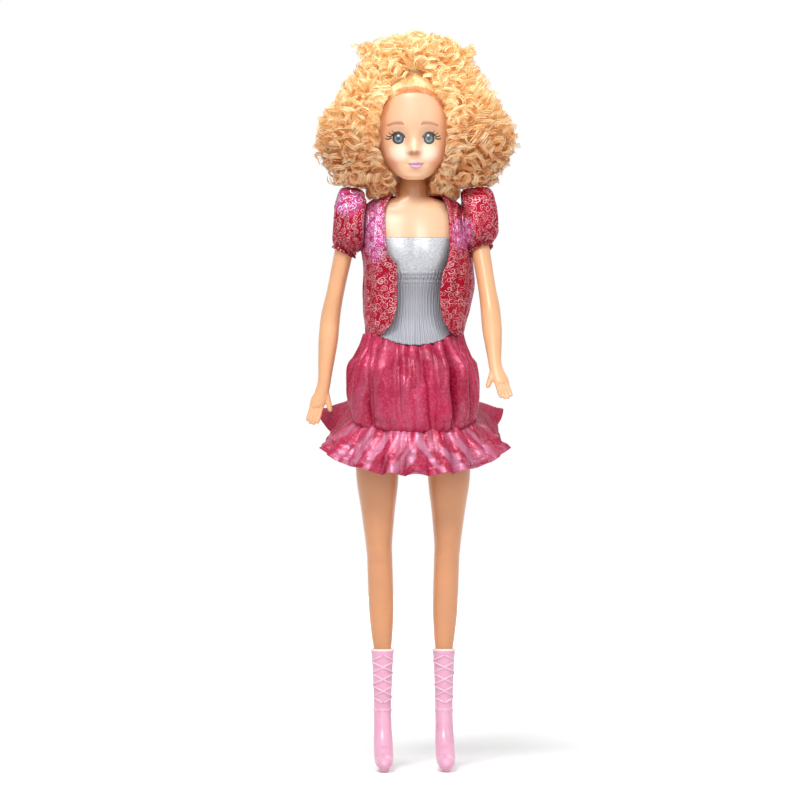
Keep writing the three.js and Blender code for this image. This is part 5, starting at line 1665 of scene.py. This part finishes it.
# %% [markdown]
# ## Puff sleeves
# Each sleeve is a tube gathered at both ends: into the armhole, and into the cuff round the upper arm. Seven
# rings set its shape, long over the top and short under the arm, and the gathers fade out into soft folds.

# %% Puff sleeve
SLEEVE_RINGS = (  # top (out, up), bottom (out, up), half depth; the last ring follows the cuff
    ((-5.0, 6.6), (-5.0, -12.3), 9.3), ((-5.3, 11.2), (-3.9, -13.2), 11.2), ((0.4, 12.7), (-2.9, -13.8), 12.7),
    ((6.4, 11.9), (-2.1, -14.2), 12.7), ((8.7, 4.5), (-1.8, -14.6), 11.9), ((9.0, -5.2), (-1.9, -14.8), 9.2),
)
CUFF_RADIUS = 4.75
SLEEVE_TRIM = {"right": 1.9, "left": 0.0}  # the right sleeve puffs out less


def cuff_ring(lean_deg, down=12.6, radius=CUFF_RADIUS, slant=2.4):
    a = radians(lean_deg)
    along, out = array([math.sin(a), -math.cos(a)]), array([math.cos(a), math.sin(a)])
    centre = along * down
    return centre + out * radius - along * slant / 2, centre - out * radius + along * slant / 2, radius


def sleeve_grid(name):
    lean = 9.5 + ARM_POSE[name][1]
    rows, columns = 110, 260
    rings = [*SLEEVE_RINGS, cuff_ring(lean)]
    keys = array([[*top, *bottom, deep] for top, bottom, deep in rings], float)
    keys[2:6, 0] -= SLEEVE_TRIM[name]
    at = array([0, 0.13, 0.3, 0.47, 0.64, 0.84, 1.0])
    t = linspace(0, 1, rows)
    slope = gradient(keys, at, axis=0)
    low = clip(np.searchsorted(at, t, "right") - 1, 0, len(at) - 2)
    t, width = t[:, None], diff(at)[low][:, None]
    shaped = curve(keys[low], keys[low + 1], slope[low], slope[low + 1], width, (t - at[low][:, None]) / width)
    turn = around(columns)[None, :]
    top, bottom, deep = shaped[:, None, 0:2], shaped[:, None, 2:4], shaped[:, 4:5]
    across = (top + bottom) / 2 + (top - bottom) / 2 * squared(turn, 2 / 0.86)[0][..., None]
    grid = stack(across[..., 0], deep * squared(turn, 2 / 0.92)[1], across[..., 1])
    upper = 0.35 + 0.65 * (1 + cos(turn)) / 2
    ends = ease(t, 0.3, 0.02) * ease(t, 0.0, 0.03) + ease(t, 0.72, 0.97)
    full = sin(pi * t)
    gathers = folds(turn, t, ((17, 0.62 * ends), (24, 0.4 * ends), (33, 0.2 * ends)), 61 + SIDES[name], 0.6)
    puffs = folds(turn, t, ((5, 0.75 * full), (8, 1.0 * full), (12, 0.6 * full)), 64 + SIDES[name], 2.2)
    crease = -0.9 * abs(soft_noise(grid.shape[:2], 67 + SIDES[name], (4, 8), (0.8, 0.5))) * full**0.7
    normal = outward_normals(grid, True, grid.mean(axis=(0, 1)))
    return grid + normal * ((gathers + puffs + crease) * upper)[..., None]


def cuff_grid(name):
    turn, t = around(200), linspace(0, 1, 14)[:, None]
    top, bottom, radius = cuff_ring(9.5 + ARM_POSE[name][1], 12.2 + 2.3 * t, 4.45 + 1.5 * abs(t - 0.35) ** 1.3)
    across, up = np.moveaxis(((top + bottom)[:, None] + (top - bottom)[:, None] * cos(turn)[:, None]) / 2, -1, 0)
    grid = stack(across, radius * sin(turn), up)
    ripple = folds(turn, t, ((21, 0.1 + 0.18 * t), (28, 0.06 + 0.12 * t)), 71 + SIDES[name], 0.4)
    return grid + unit(grid - grid.mean(axis=1, keepdims=True)) * ripple[..., None]


for name, side in SIDES.items():
    grid, cuff = (on_arm(made, name, splayed=False)[:, ::-side] for made in (sleeve_grid(name), cuff_grid(name)))
    sleeve = cloth(f"{name}_puff_sleeve", grid, jacket_finish, 0.4, wrap=True)
    dress(sleeve, f"{name}_arm", "jacket", f"{name}_sleeve")
    if name == "right":  # its overlocked edge shows along the top
        top = grid[arange(len(grid)), grid[..., 2].argmax(axis=1)][6:72]
        thread = piece("right_sleeve_overlock", *cord_form(top + (0, 0, 0.3), 0.3), overlock_finish)
        dress(thread, "right_arm", "jacket")
    cuff = cloth(f"{name}_cuff_ruffle", cuff, jacket_finish, wrap=True)
    dress(cuff, f"{name}_arm", "jacket", f"{name}_cuff_elastic")


# %% [markdown]
# ## Hair
# The real hair is rooted in the soft head: long bundles of fine fibre, set into tight curls by heat. The
# front is combed up and tied, and the rest springs out in one big rounded mass. It is made lock by lock,
# each a helix of a few flat strands. A dark inner mass behind them, in painted shade, closes the gaps.

# %% The outside of the hair
HAIR_LOW, HAIR_RISE = 240.75, 67.85
HAIR_WIDE, HAIR_FRONT, HAIR_BACK, HAIR_ASIDE = 43.0, 15.6, 34.0, 1.2
HAIR_SHARES = [  # height, half width, front and back, as shares of the whole
    (0, 0.45, 0.4, 0.6), (0.06, 0.69, 0.7, 0.82), (0.14, 0.82, 0.88, 0.93), (0.22, 0.905, 0.95, 0.98),
    (0.3, 0.97, 1, 1), (0.37, 0.99, 1, 1), (0.44, 0.965, 1, 1), (0.51, 0.89, 1, 0.97), (0.6, 0.79, 0.96, 0.92),
    (0.67, 0.72, 0.92, 0.86), (0.74, 0.63, 0.9, 0.78), (0.81, 0.56, 0.88, 0.68), (0.91, 0.48, 0.82, 0.55),
    (0.955, 0.30, 0.55, 0.36), (1, 0.06, 0.12, 0.1),
]
MASS = between(
    [
        key(HAIR_LOW + high * HAIR_RISE, wide * HAIR_WIDE, front * HAIR_FRONT, back * HAIR_BACK, x=HAIR_ASIDE)
        for high, wide, front, back in HAIR_SHARES
    ],
    6,
)
HEAD_MIDDLE = array([0.0, 2.0, 270.0])
HAIRLINE = array([  # x and height of the edge of the hair round the forehead
    (-14.3, 267.0), (-13.9, 272.0), (-12.7, 277.2), (-9.9, 280.8), (-5.0, 282.5), (0.5, 282.9),
    (5.6, 282.1), (9.4, 279.8), (12.3, 276.0), (13.9, 271.0), (14.3, 266.0),
])
FACE_EDGE = array([  # height, and how far out the locks start beside the face
    (240, 6.9), (246.4, 7.0), (248.5, 8.8), (251, 10.6), (255, 12.7), (262, 13.8), (272, 13.9), (277.5, 12.4),
    (281, 10.2), (283.0, 8.4), (284.6, 6.6), (287.6, 5.0), (289.5, 2.2), (293, 1.2),
])


def mass_point(turn, z, inset):
    """Points at some depth under the outside of the hair."""
    sections = section_at(MASS, z)
    c, s = squared(turn, 2 / 0.92)
    deep = np.where(s > 0, sections[..., 5], sections[..., 4])
    return stack(sections[..., 0] + c * (sections[..., 3] - inset), s * (deep - inset), sections[..., 2])


def short_of_room(points):
    """How far a lock must go up, and outwards, to clear the shoulders, face and neck."""
    x, y, z = points[..., 0] - EYE_LEAN, points[..., 1], points[..., 2]
    far = np.hypot(points[..., 0], y)
    up = interp(far, [0, 10, 15, 18.6, 19.4, 20.4, 60], [241.2, 241.0, 239.2, 238.0, 238.6, 243.8, 243.8]) - z
    aside = interp(z, *FACE_EDGE.T) - abs(x)
    aside = np.where((y < 1.5) & (z < 292), aside, -9)
    nape = np.where((abs(y) < 7.0) & (z < 250), 7.0 - abs(x), -9)
    return max(up.max(), 0.0), max(aside.max(), nape.max(), 0.0)


# %% Inner mass
def inner_mass():
    turn = around(72)
    inner = MASS.copy()
    inner[:, 3:6] = np.maximum(inner[:, 3:6] - array([5.6, 6.2, 5.6]), 1.5)
    inner = inner[(inner[:, 2] > 245.3) & (inner[:, 2] < 303)]
    made = piece("hair_inner_mass", *loft(rings_of(inner, turn, 2.2)), inner_shade_finish)
    face = [(x + 2.4, z) for z, x in FACE_EDGE]
    outline = [(x + EYE_LEAN, z) for x, z in face] + [(EYE_LEAN - x, z) for x, z in face[::-1]]
    window = array([[(x, y, z) for x, z in outline] for y in (1.0, -40.0)])
    cut_away(made, piece("face_window", *loft(window), inner_shade_finish), bored(8.4, (0, 0, 230), (0, 0, 249)))
    return melted(made, 0.9)


hair_inner = inner_mass()
inner_points = points_of(hair_inner)
x, y, z = inner_points.T
ripple = sin(x * 1.7 + 2 * sin(z * 0.6)) * sin(z * 1.5 + y * 0.9) * sin(y * 1.3 + x * 0.5)
inner_points += unit(stack(x, y, z - 270)) * (0.9 * ripple)[:, None]
hair_inner.data.vertices.foreach_set("co", place(inner_points).astype(np.float32).ravel())
dress(hair_inner, "head", "hair", "hair_back")


# %% [markdown]
# ## One lock, many times
# A lock is a helix round a slightly bent axis. Its strands lie side by side, so that the lock reads as a
# wound ribbon. Every lock is drawn from the same seeded chances, so the hair is the same on each run.

# %% Locks as helices of strands
STRAND_SIDES, LOCK_WIDE = 3, 0.19
HELIX_STEPS = 12  # points in one turn
chance = np.random.default_rng(2028)


def strand_tube(line, wide, thick, facing, tag):
    """A flat strand along a line, tapered at both ends; its flat side looks the way of facing."""
    steps, along = arange(len(line)), gradient(line, axis=0)
    across = unit(cross(along, facing))
    out = cross(across, unit(along))
    taper = np.sqrt(clip(np.minimum(steps + 0.6, len(line) - 0.4 - steps) / 4.0, 0.12, 1))[:, None, None]
    turn = around(STRAND_SIDES)[:, None]
    points = line[:, None] + taper * (across[:, None] * cos(turn) * wide + out[:, None] * sin(turn) * thick)
    flat = stack(np.cumsum(np.linalg.norm(along, axis=1))[:, None], tag + 0.22 * sin(turn[:, 0]))
    return points.reshape(-1, 3), [grid_faces(len(line), STRAND_SIDES, True)], flat.reshape(-1, 2)


def ringlet(start, axis, length, radius, strands, bend):
    """The lines of one curled lock's strands, and the way each one faces."""
    axis = unit(axis)
    turns = length / chance.uniform(3.3, 4.6)
    steps = max(12, int(turns * HELIX_STEPS))
    t = linspace(0, 1, steps)
    droop = array([*chance.normal(size=2) * 0.6, -1.0])
    middle = start + axis * (length * t)[:, None] + droop * (bend * length * t**2)[:, None]
    along = unit(gradient(middle, axis=0))
    side = unit(cross(along, (0, 0, 1) if abs(along[0, 2]) < 0.9 else (1, 0, 0)))
    other = cross(side, along)
    hand = 1 if chance.random() < 0.5 else -1
    phase = chance.uniform(0, 2 * pi)
    swing = radius * (0.5 + 0.55 * sin(pi * (0.1 + 0.84 * t)) ** 0.7)
    gap = chance.uniform(0.30, 0.5)
    lines, facings = [], []
    for i in range(strands):
        shift = (i - (strands - 1) / 2) * gap * (1 + 0.35 * sin(t * chance.uniform(4, 12) + chance.uniform(0, 6)))
        loose = 1 + 0.11 * chance.normal() + 0.06 * sin(t * chance.uniform(9, 20) + i)
        angle = hand * (2 * pi * turns * t) + phase + 0.16 * chance.normal()
        out = side * cos(angle)[:, None] + other * sin(angle)[:, None]
        lines.append(middle + out * (swing * loose)[:, None] + axis * shift[:, None])
        facings.append(out)
    return array(lines), facings


def settle(lines, reach=3.4):
    """Moves a lock up or outwards until it is clear, or gives it up."""
    for _ in range(3):
        up, aside = short_of_room(lines)
        if up > reach or aside > reach:
            return None
        if up <= 0 and aside <= 0:
            return lines
        away = 1 if lines[..., 0].mean() > EYE_LEAN else -1
        lines = lines + array([away * (aside + 0.02 if aside > 0 else 0), 0, up + 0.02 if up > 0 else 0])
    return None


# %% Where the locks lie
DARTS = 26000


def lock_starts(insets, spacing):
    """Throws darts over the hair and keeps those with room round them."""
    kept, points = [], zeros((DARTS, 3))
    for _ in range(DARTS):
        turn = chance.uniform(0, 2 * pi)
        z = HAIR_LOW + HAIR_RISE * chance.uniform(0.02, 0.985)
        point = mass_point(turn, z, chance.uniform(*insets))
        if (np.sum((points[: len(kept)] - point) ** 2, axis=1) > spacing**2).all():
            points[len(kept)] = point
            kept.append((turn, z, point))
    return kept


def outward_at(turn, z):
    across = mass_point(turn + 0.04, z, 0) - mass_point(turn - 0.04, z, 0)
    return unit(cross(across, mass_point(turn, z + 0.6, 0) - mass_point(turn, z - 0.6, 0)))


def clump(point):
    """1 in the middle of a clump of locks, 0 between clumps."""
    return math.exp(-(np.min(np.sum((seeds - point) ** 2, axis=1)) / 4.6**2))


LAYERS = {  # name: inset from the outside, spacing, coil radius, length, strands
    "outer": ((1.9, 3.0), 3.7, (1.9, 2.75), (7.5, 12.0), 5),
    "under": ((4.8, 6.0), 4.5, (2.0, 2.8), (8.0, 12.0), 4),
}
seeds = array([point for _, _, point in lock_starts((2.0, 2.1), 9.0)])
bunches, placed = {}, {}


def add_lock(start, axis, lengths, radii, strands=5, bend=0.0, back=0.5, layer="outer"):
    """back is the share of the lock's length that lies behind its start."""
    length, radius = chance.uniform(*lengths), chance.uniform(*radii)
    bend = chance.uniform(*bend) if isinstance(bend, tuple) else bend
    lines, facings = ringlet(start - unit(axis) * length * back, axis, length, radius, strands, bend)
    lines = settle(lines)
    if lines is None:
        return
    x, _, z = lines.mean(axis=(0, 1))
    side = "right" if x < -15 else "left" if x > 15 else "back"
    where = f"{side if layer == 'outer' else layer}_{'upper' if z > 271 else 'lower'}"
    if z > 293.5 and layer == "outer":
        where = "top"
    tag = 7.0 * sum(placed.values())
    tubes = bunches.setdefault(where, [])
    for i, (line, facing) in enumerate(zip(lines, facings)):
        tubes.append(strand_tube(line, LOCK_WIDE * chance.uniform(0.75, 1.3), 0.13, facing, tag + i))
    placed[where] = placed.get(where, 0) + 1


for layer, (insets, spacing, radii, lengths, strands) in LAYERS.items():
    for turn, z, point in lock_starts(insets, spacing):
        out = outward_at(turn, z)
        point = point + out * (2.1 * clump(point) - 1.3)
        fall = array([point[0], point[1] * 0.6, -6.0] if out[2] > 0.45 else [0, 0, -1.0])
        fall = unit(fall - out * fall.dot(out))
        axis = fall + cross(fall, out) * chance.normal() * 0.75 + out * chance.uniform(-0.15, 0.75)
        add_lock(point - out * 0.3, axis, lengths, radii, strands, (0.02, 0.25), layer=layer)

# %% Locks that frame the face, and those low round the neck
for side in (-1, 1):
    for i in range(64):
        z = chance.uniform(246.5, 286.0)
        beside = interp(z, *FACE_EDGE.T) + chance.uniform(2.4, 3.6)
        point = array([EYE_LEAN + side * beside, chance.uniform(-13.0, 0.5), z])
        axis = array([side * chance.uniform(-0.2, 0.6), chance.uniform(-0.9, 0.3), -0.9 + chance.normal() * 0.4])
        add_lock(point, axis, (6.5, 10.0), (1.7, 2.5), bend=0.15)
for i in range(110):
    turn, far = chance.uniform(0, 2 * pi), chance.uniform(9.5, 28.0)
    point = array([far * math.cos(turn) * 1.15, far * math.sin(turn) * 0.75, 243.4 if far < 16.5 else 247.0])
    if point[1] >= -14:
        add_lock(point, chance.normal(size=3) * (1, 1, 0.35), (6.0, 9.0), (1.7, 2.3))

for i in range(200):  # on the shoulders and behind the neck
    beside = i % 3 > 0
    far = chance.uniform(11.0, 18.6 if beside else 16.6)
    turn = pi / 2 - chance.choice([-1, 1]) * chance.uniform(*((0.75, 2.0) if beside else (0, 0.75)))
    point = array([far * math.cos(turn), far * math.sin(turn), chance.uniform(239.6, 241.8)])
    add_lock(point, array([0.3 * chance.normal(), 0.5 * chance.normal(), -1.0]), (3.6, 5.5), (1.2, 1.7))
for away, high in ((-20.2, 301.5), (22.6, 300.4)):  # two small tufts stand up at the crown's corners
    for i in range(9):
        point = array([away, -3.0, high]) + chance.normal(size=3) * (1.2, 2.0, 0.9)
        axis = array([0.35 * np.sign(away) + 0.3 * chance.normal(), 0.4 * chance.normal(), 1.0])
        add_lock(point - axis * 2.4, axis, (4.6, 6.0), (1.3, 1.9), back=0)

# %% A few fine loose strands
for turn, z, point in lock_starts((0.6, 1.0), 9.5):
    out = outward_at(turn, z)
    add_lock(point - out * 2.2, (out + chance.normal(size=3)) * 0.7, (4.0, 7.0), (1.2, 2.2), 2, 0.3, 0)

for where, tubes in bunches.items():
    points, faces, flat = stacked(*tubes)
    side = where.split("_")[0]
    made = piece(f"curls_{where}", points, faces, under_finish if side == "under" else curl_finish, flat)
    dress(made, "head", "hair", "hair_back" if side == "under" else f"hair_{side}")
print("locks:", placed)


# %% [markdown]
# ## Smooth front hair
# The front hair is one combed sheet that hugs the head: columns of points run up from the hairline to a
# small elastic, with fine ridges across them for the fibres. Above it the ends flare out.

# %% Front hair, tuft and tie
TIE_AT = array([0.5, -6.4, 291.9])


def over_head(start, end, t, lift):
    """A path over the head between two places."""
    t = t[:, None]
    ways = unit((start - HEAD_MIDDLE) * (1 - t) + (end - HEAD_MIDDLE) * t)
    return [seen_on_head(HEAD_MIDDLE + way * 60, -way) + way * rise for way, rise in zip(ways, lift)]


def hairline_start(x, z):
    """The place on the head at this x and height, or as far out as the head goes."""
    found = seen_on_head((x, -60, z), (0, 1, 0))
    return hairline_start(x * 0.985, z) if found is None else found


def combed_grid():
    share, t = linspace(0, 1, 260), linspace(0, 1, 34) ** 0.9
    along = distance(HAIRLINE)
    edge = (interp(share, along / along[-1], column) for column in HAIRLINE.T)
    lift = -0.25 + 1.25 * ease(t, 0.0, 0.12) + 1.4 * ease(t, 0.7, 1.0)
    lift = lift + 0.2 * soft_noise((34, 260), 81, (2, 60), (0.0, 1.0)).T * ease(t, 0.02, 0.2)
    below = TIE_AT - (0, 0, 1.6)
    grid = np.stack([over_head(hairline_start(x, z), below, t * 0.985, rise) for x, z, rise in zip(*edge, lift)], 1)
    pinch = ease(t, 0.82, 1.0)[:, None, None]
    turn = pi * (1.04 + 0.92 * share)
    return grid * (1 - pinch) + (TIE_AT + stack(2.3 * cos(turn), 2.0 * sin(turn), -0.9)) * pinch


combed = combed_grid()
flat = stack(distance(combed), linspace(0, 150.0, combed.shape[1])).reshape(-1, 2)
made = piece("combed_front", combed.reshape(-1, 3), [grid_faces(*combed.shape[:2])], front_finish, flat)
dress(modify(made, "SOLIDIFY", thickness=0.5 * MM, offset=0.0), "head", "hair", "hair_front")

tuft_tubes = []
for i in range(150):
    turn, far = chance.uniform(0, 2 * pi), math.sqrt(chance.random())
    t = linspace(0, 1, 16)
    neck_in = 2.0 * far
    flare = neck_in + (3.0 + 4.0 * far) * ease(t, 0.15, 1.0) * t
    lean = array([0.0, -0.35, 1.0]) / 1.06
    rise = -1.6 + (5.0 + 3.5 * chance.random()) * t
    around_it = array([math.cos(turn), math.sin(turn), 0.0])
    line = TIE_AT + lean * rise[:, None] + around_it * flare[:, None]
    line += chance.normal(size=3) * 0.25 * t[:, None] + array([0, 0, -1.6]) * (t**3)[:, None] * far
    tuft_tubes.append(strand_tube(line, 0.3, 0.16, np.broadcast_to(around_it, line.shape), 3.0 * i))
points, faces, flat = stacked(*tuft_tubes)
dress(piece("tied_tuft", points, faces, front_finish, flat), "head", "hair", "hair_front")

turn, tube = around(96)[:, None], around(14)[None, :]
wind = 0.07 * sin(turn * 24 + tube * 2)
band_points = TIE_AT + stack(
    cos(turn) * (2.35 + (0.42 + wind) * cos(tube)), sin(turn) * (2.1 + (0.42 + wind) * cos(tube)),
    (0.55 + wind) * sin(tube) - 0.35 * sin(turn) * 1.2,
)
dress(piece("tie_band", *ring_of(band_points), elastic_finish), "head", "elastic", "hair_tie")


# %% [markdown]
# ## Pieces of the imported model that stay
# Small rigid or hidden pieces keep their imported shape, and only their finish is new.

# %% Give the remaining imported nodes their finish
KEPT = {"neck_peg": peg_finish, "closure_loop_strip": tape_finish, "closure_hook_strip": tape_finish}
for name, kept_finish in KEPT.items():
    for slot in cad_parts[name].material_slots:
        slot.material = kept_finish
print("kept from the packed model:", ", ".join(KEPT))


# %% [markdown]
# ## Floor, backdrop and light
# The photograph is cut out on white. A pale floor catches a soft shadow, and the world shows as white only
# where it is seen directly or in a reflection. The light is soft: a large lamp from the front left, weaker
# ones from the right, above and behind, and an even world.

# %% Floor
def seen_directly():
    """1 where the camera, a glossy reflection or clear plastic looks at the background."""
    path = node("ShaderNodeLightPath")
    seen = calc("MAXIMUM", path["Is Camera Ray"], path["Is Glossy Ray"])
    return calc("MAXIMUM", seen, path["Is Transmission Ray"])


def pale_floor():
    made, shader = finish("pale floor", Roughness=0.9, Emission_Color=(1, 1, 1))
    where = on_piece() * (1.0, 1.0, 0.0)
    mottle = spread(noise(where, 6.0), 0.3, 0.7, 0.84, 0.88)
    glow = seen_directly() * spread(calc("LENGTH", where), 0.08, 0.5, 0.22, 1.0)
    grey = node("ShaderNodeCombineColor", {0: mottle, 1: mottle, 2: mottle})[0]
    feed(shader, Base_Color=grey, Emission_Strength=glow)
    return made


FLOOR_HALF = 1500.0
corners = FLOOR_HALF * array([(-1, -1, 0), (1, -1, 0), (1, 1, 0), (-1, 1, 0)], float)
piece("floor", corners - (0, 0, 0.25), [array([[0, 1, 2, 3]])], pale_floor())


# %% World and lamps
world = bpy.data.worlds.new("soft white room")
bpy.context.scene.world = world
world.use_nodes = True
TREE = world.node_tree
feed(TREE.nodes["Background"], Color=(1, 1, 1), Strength=spread(seen_directly(), 0.0, 1.0, 0.34, 1.0, "LINEAR"))

LAMPS = {  # name: (azimuth, elevation, distance, size, watts)
    "key": (-18, 50, 1.5, 0.45, 13.8), "fill": (40, 26, 1.6, 0.9, 3.0), "front": (-6, 22, 1.8, 0.6, 3.8),
    "top": (10, 80, 1.3, 0.7, 3.0), "back": (170, 40, 1.6, 0.9, 4.0),
}
for name, (azimuth, elevation, distance, size, watts) in LAMPS.items():
    lamp_data = bpy.data.lights.new(name, "AREA")
    lamp_data.energy, lamp_data.size = watts, size
    lamp = bpy.data.objects.new(name, lamp_data)
    a, e = radians(azimuth), radians(elevation)
    towards = Vector((math.sin(a) * math.cos(e), -math.cos(a) * math.cos(e), math.sin(e)))
    put_in_scene(lamp, Vector(MIDDLE) + Vector((0, 0, 0.18)) + towards * distance, towards)
print("lamps:", ", ".join(LAMPS))
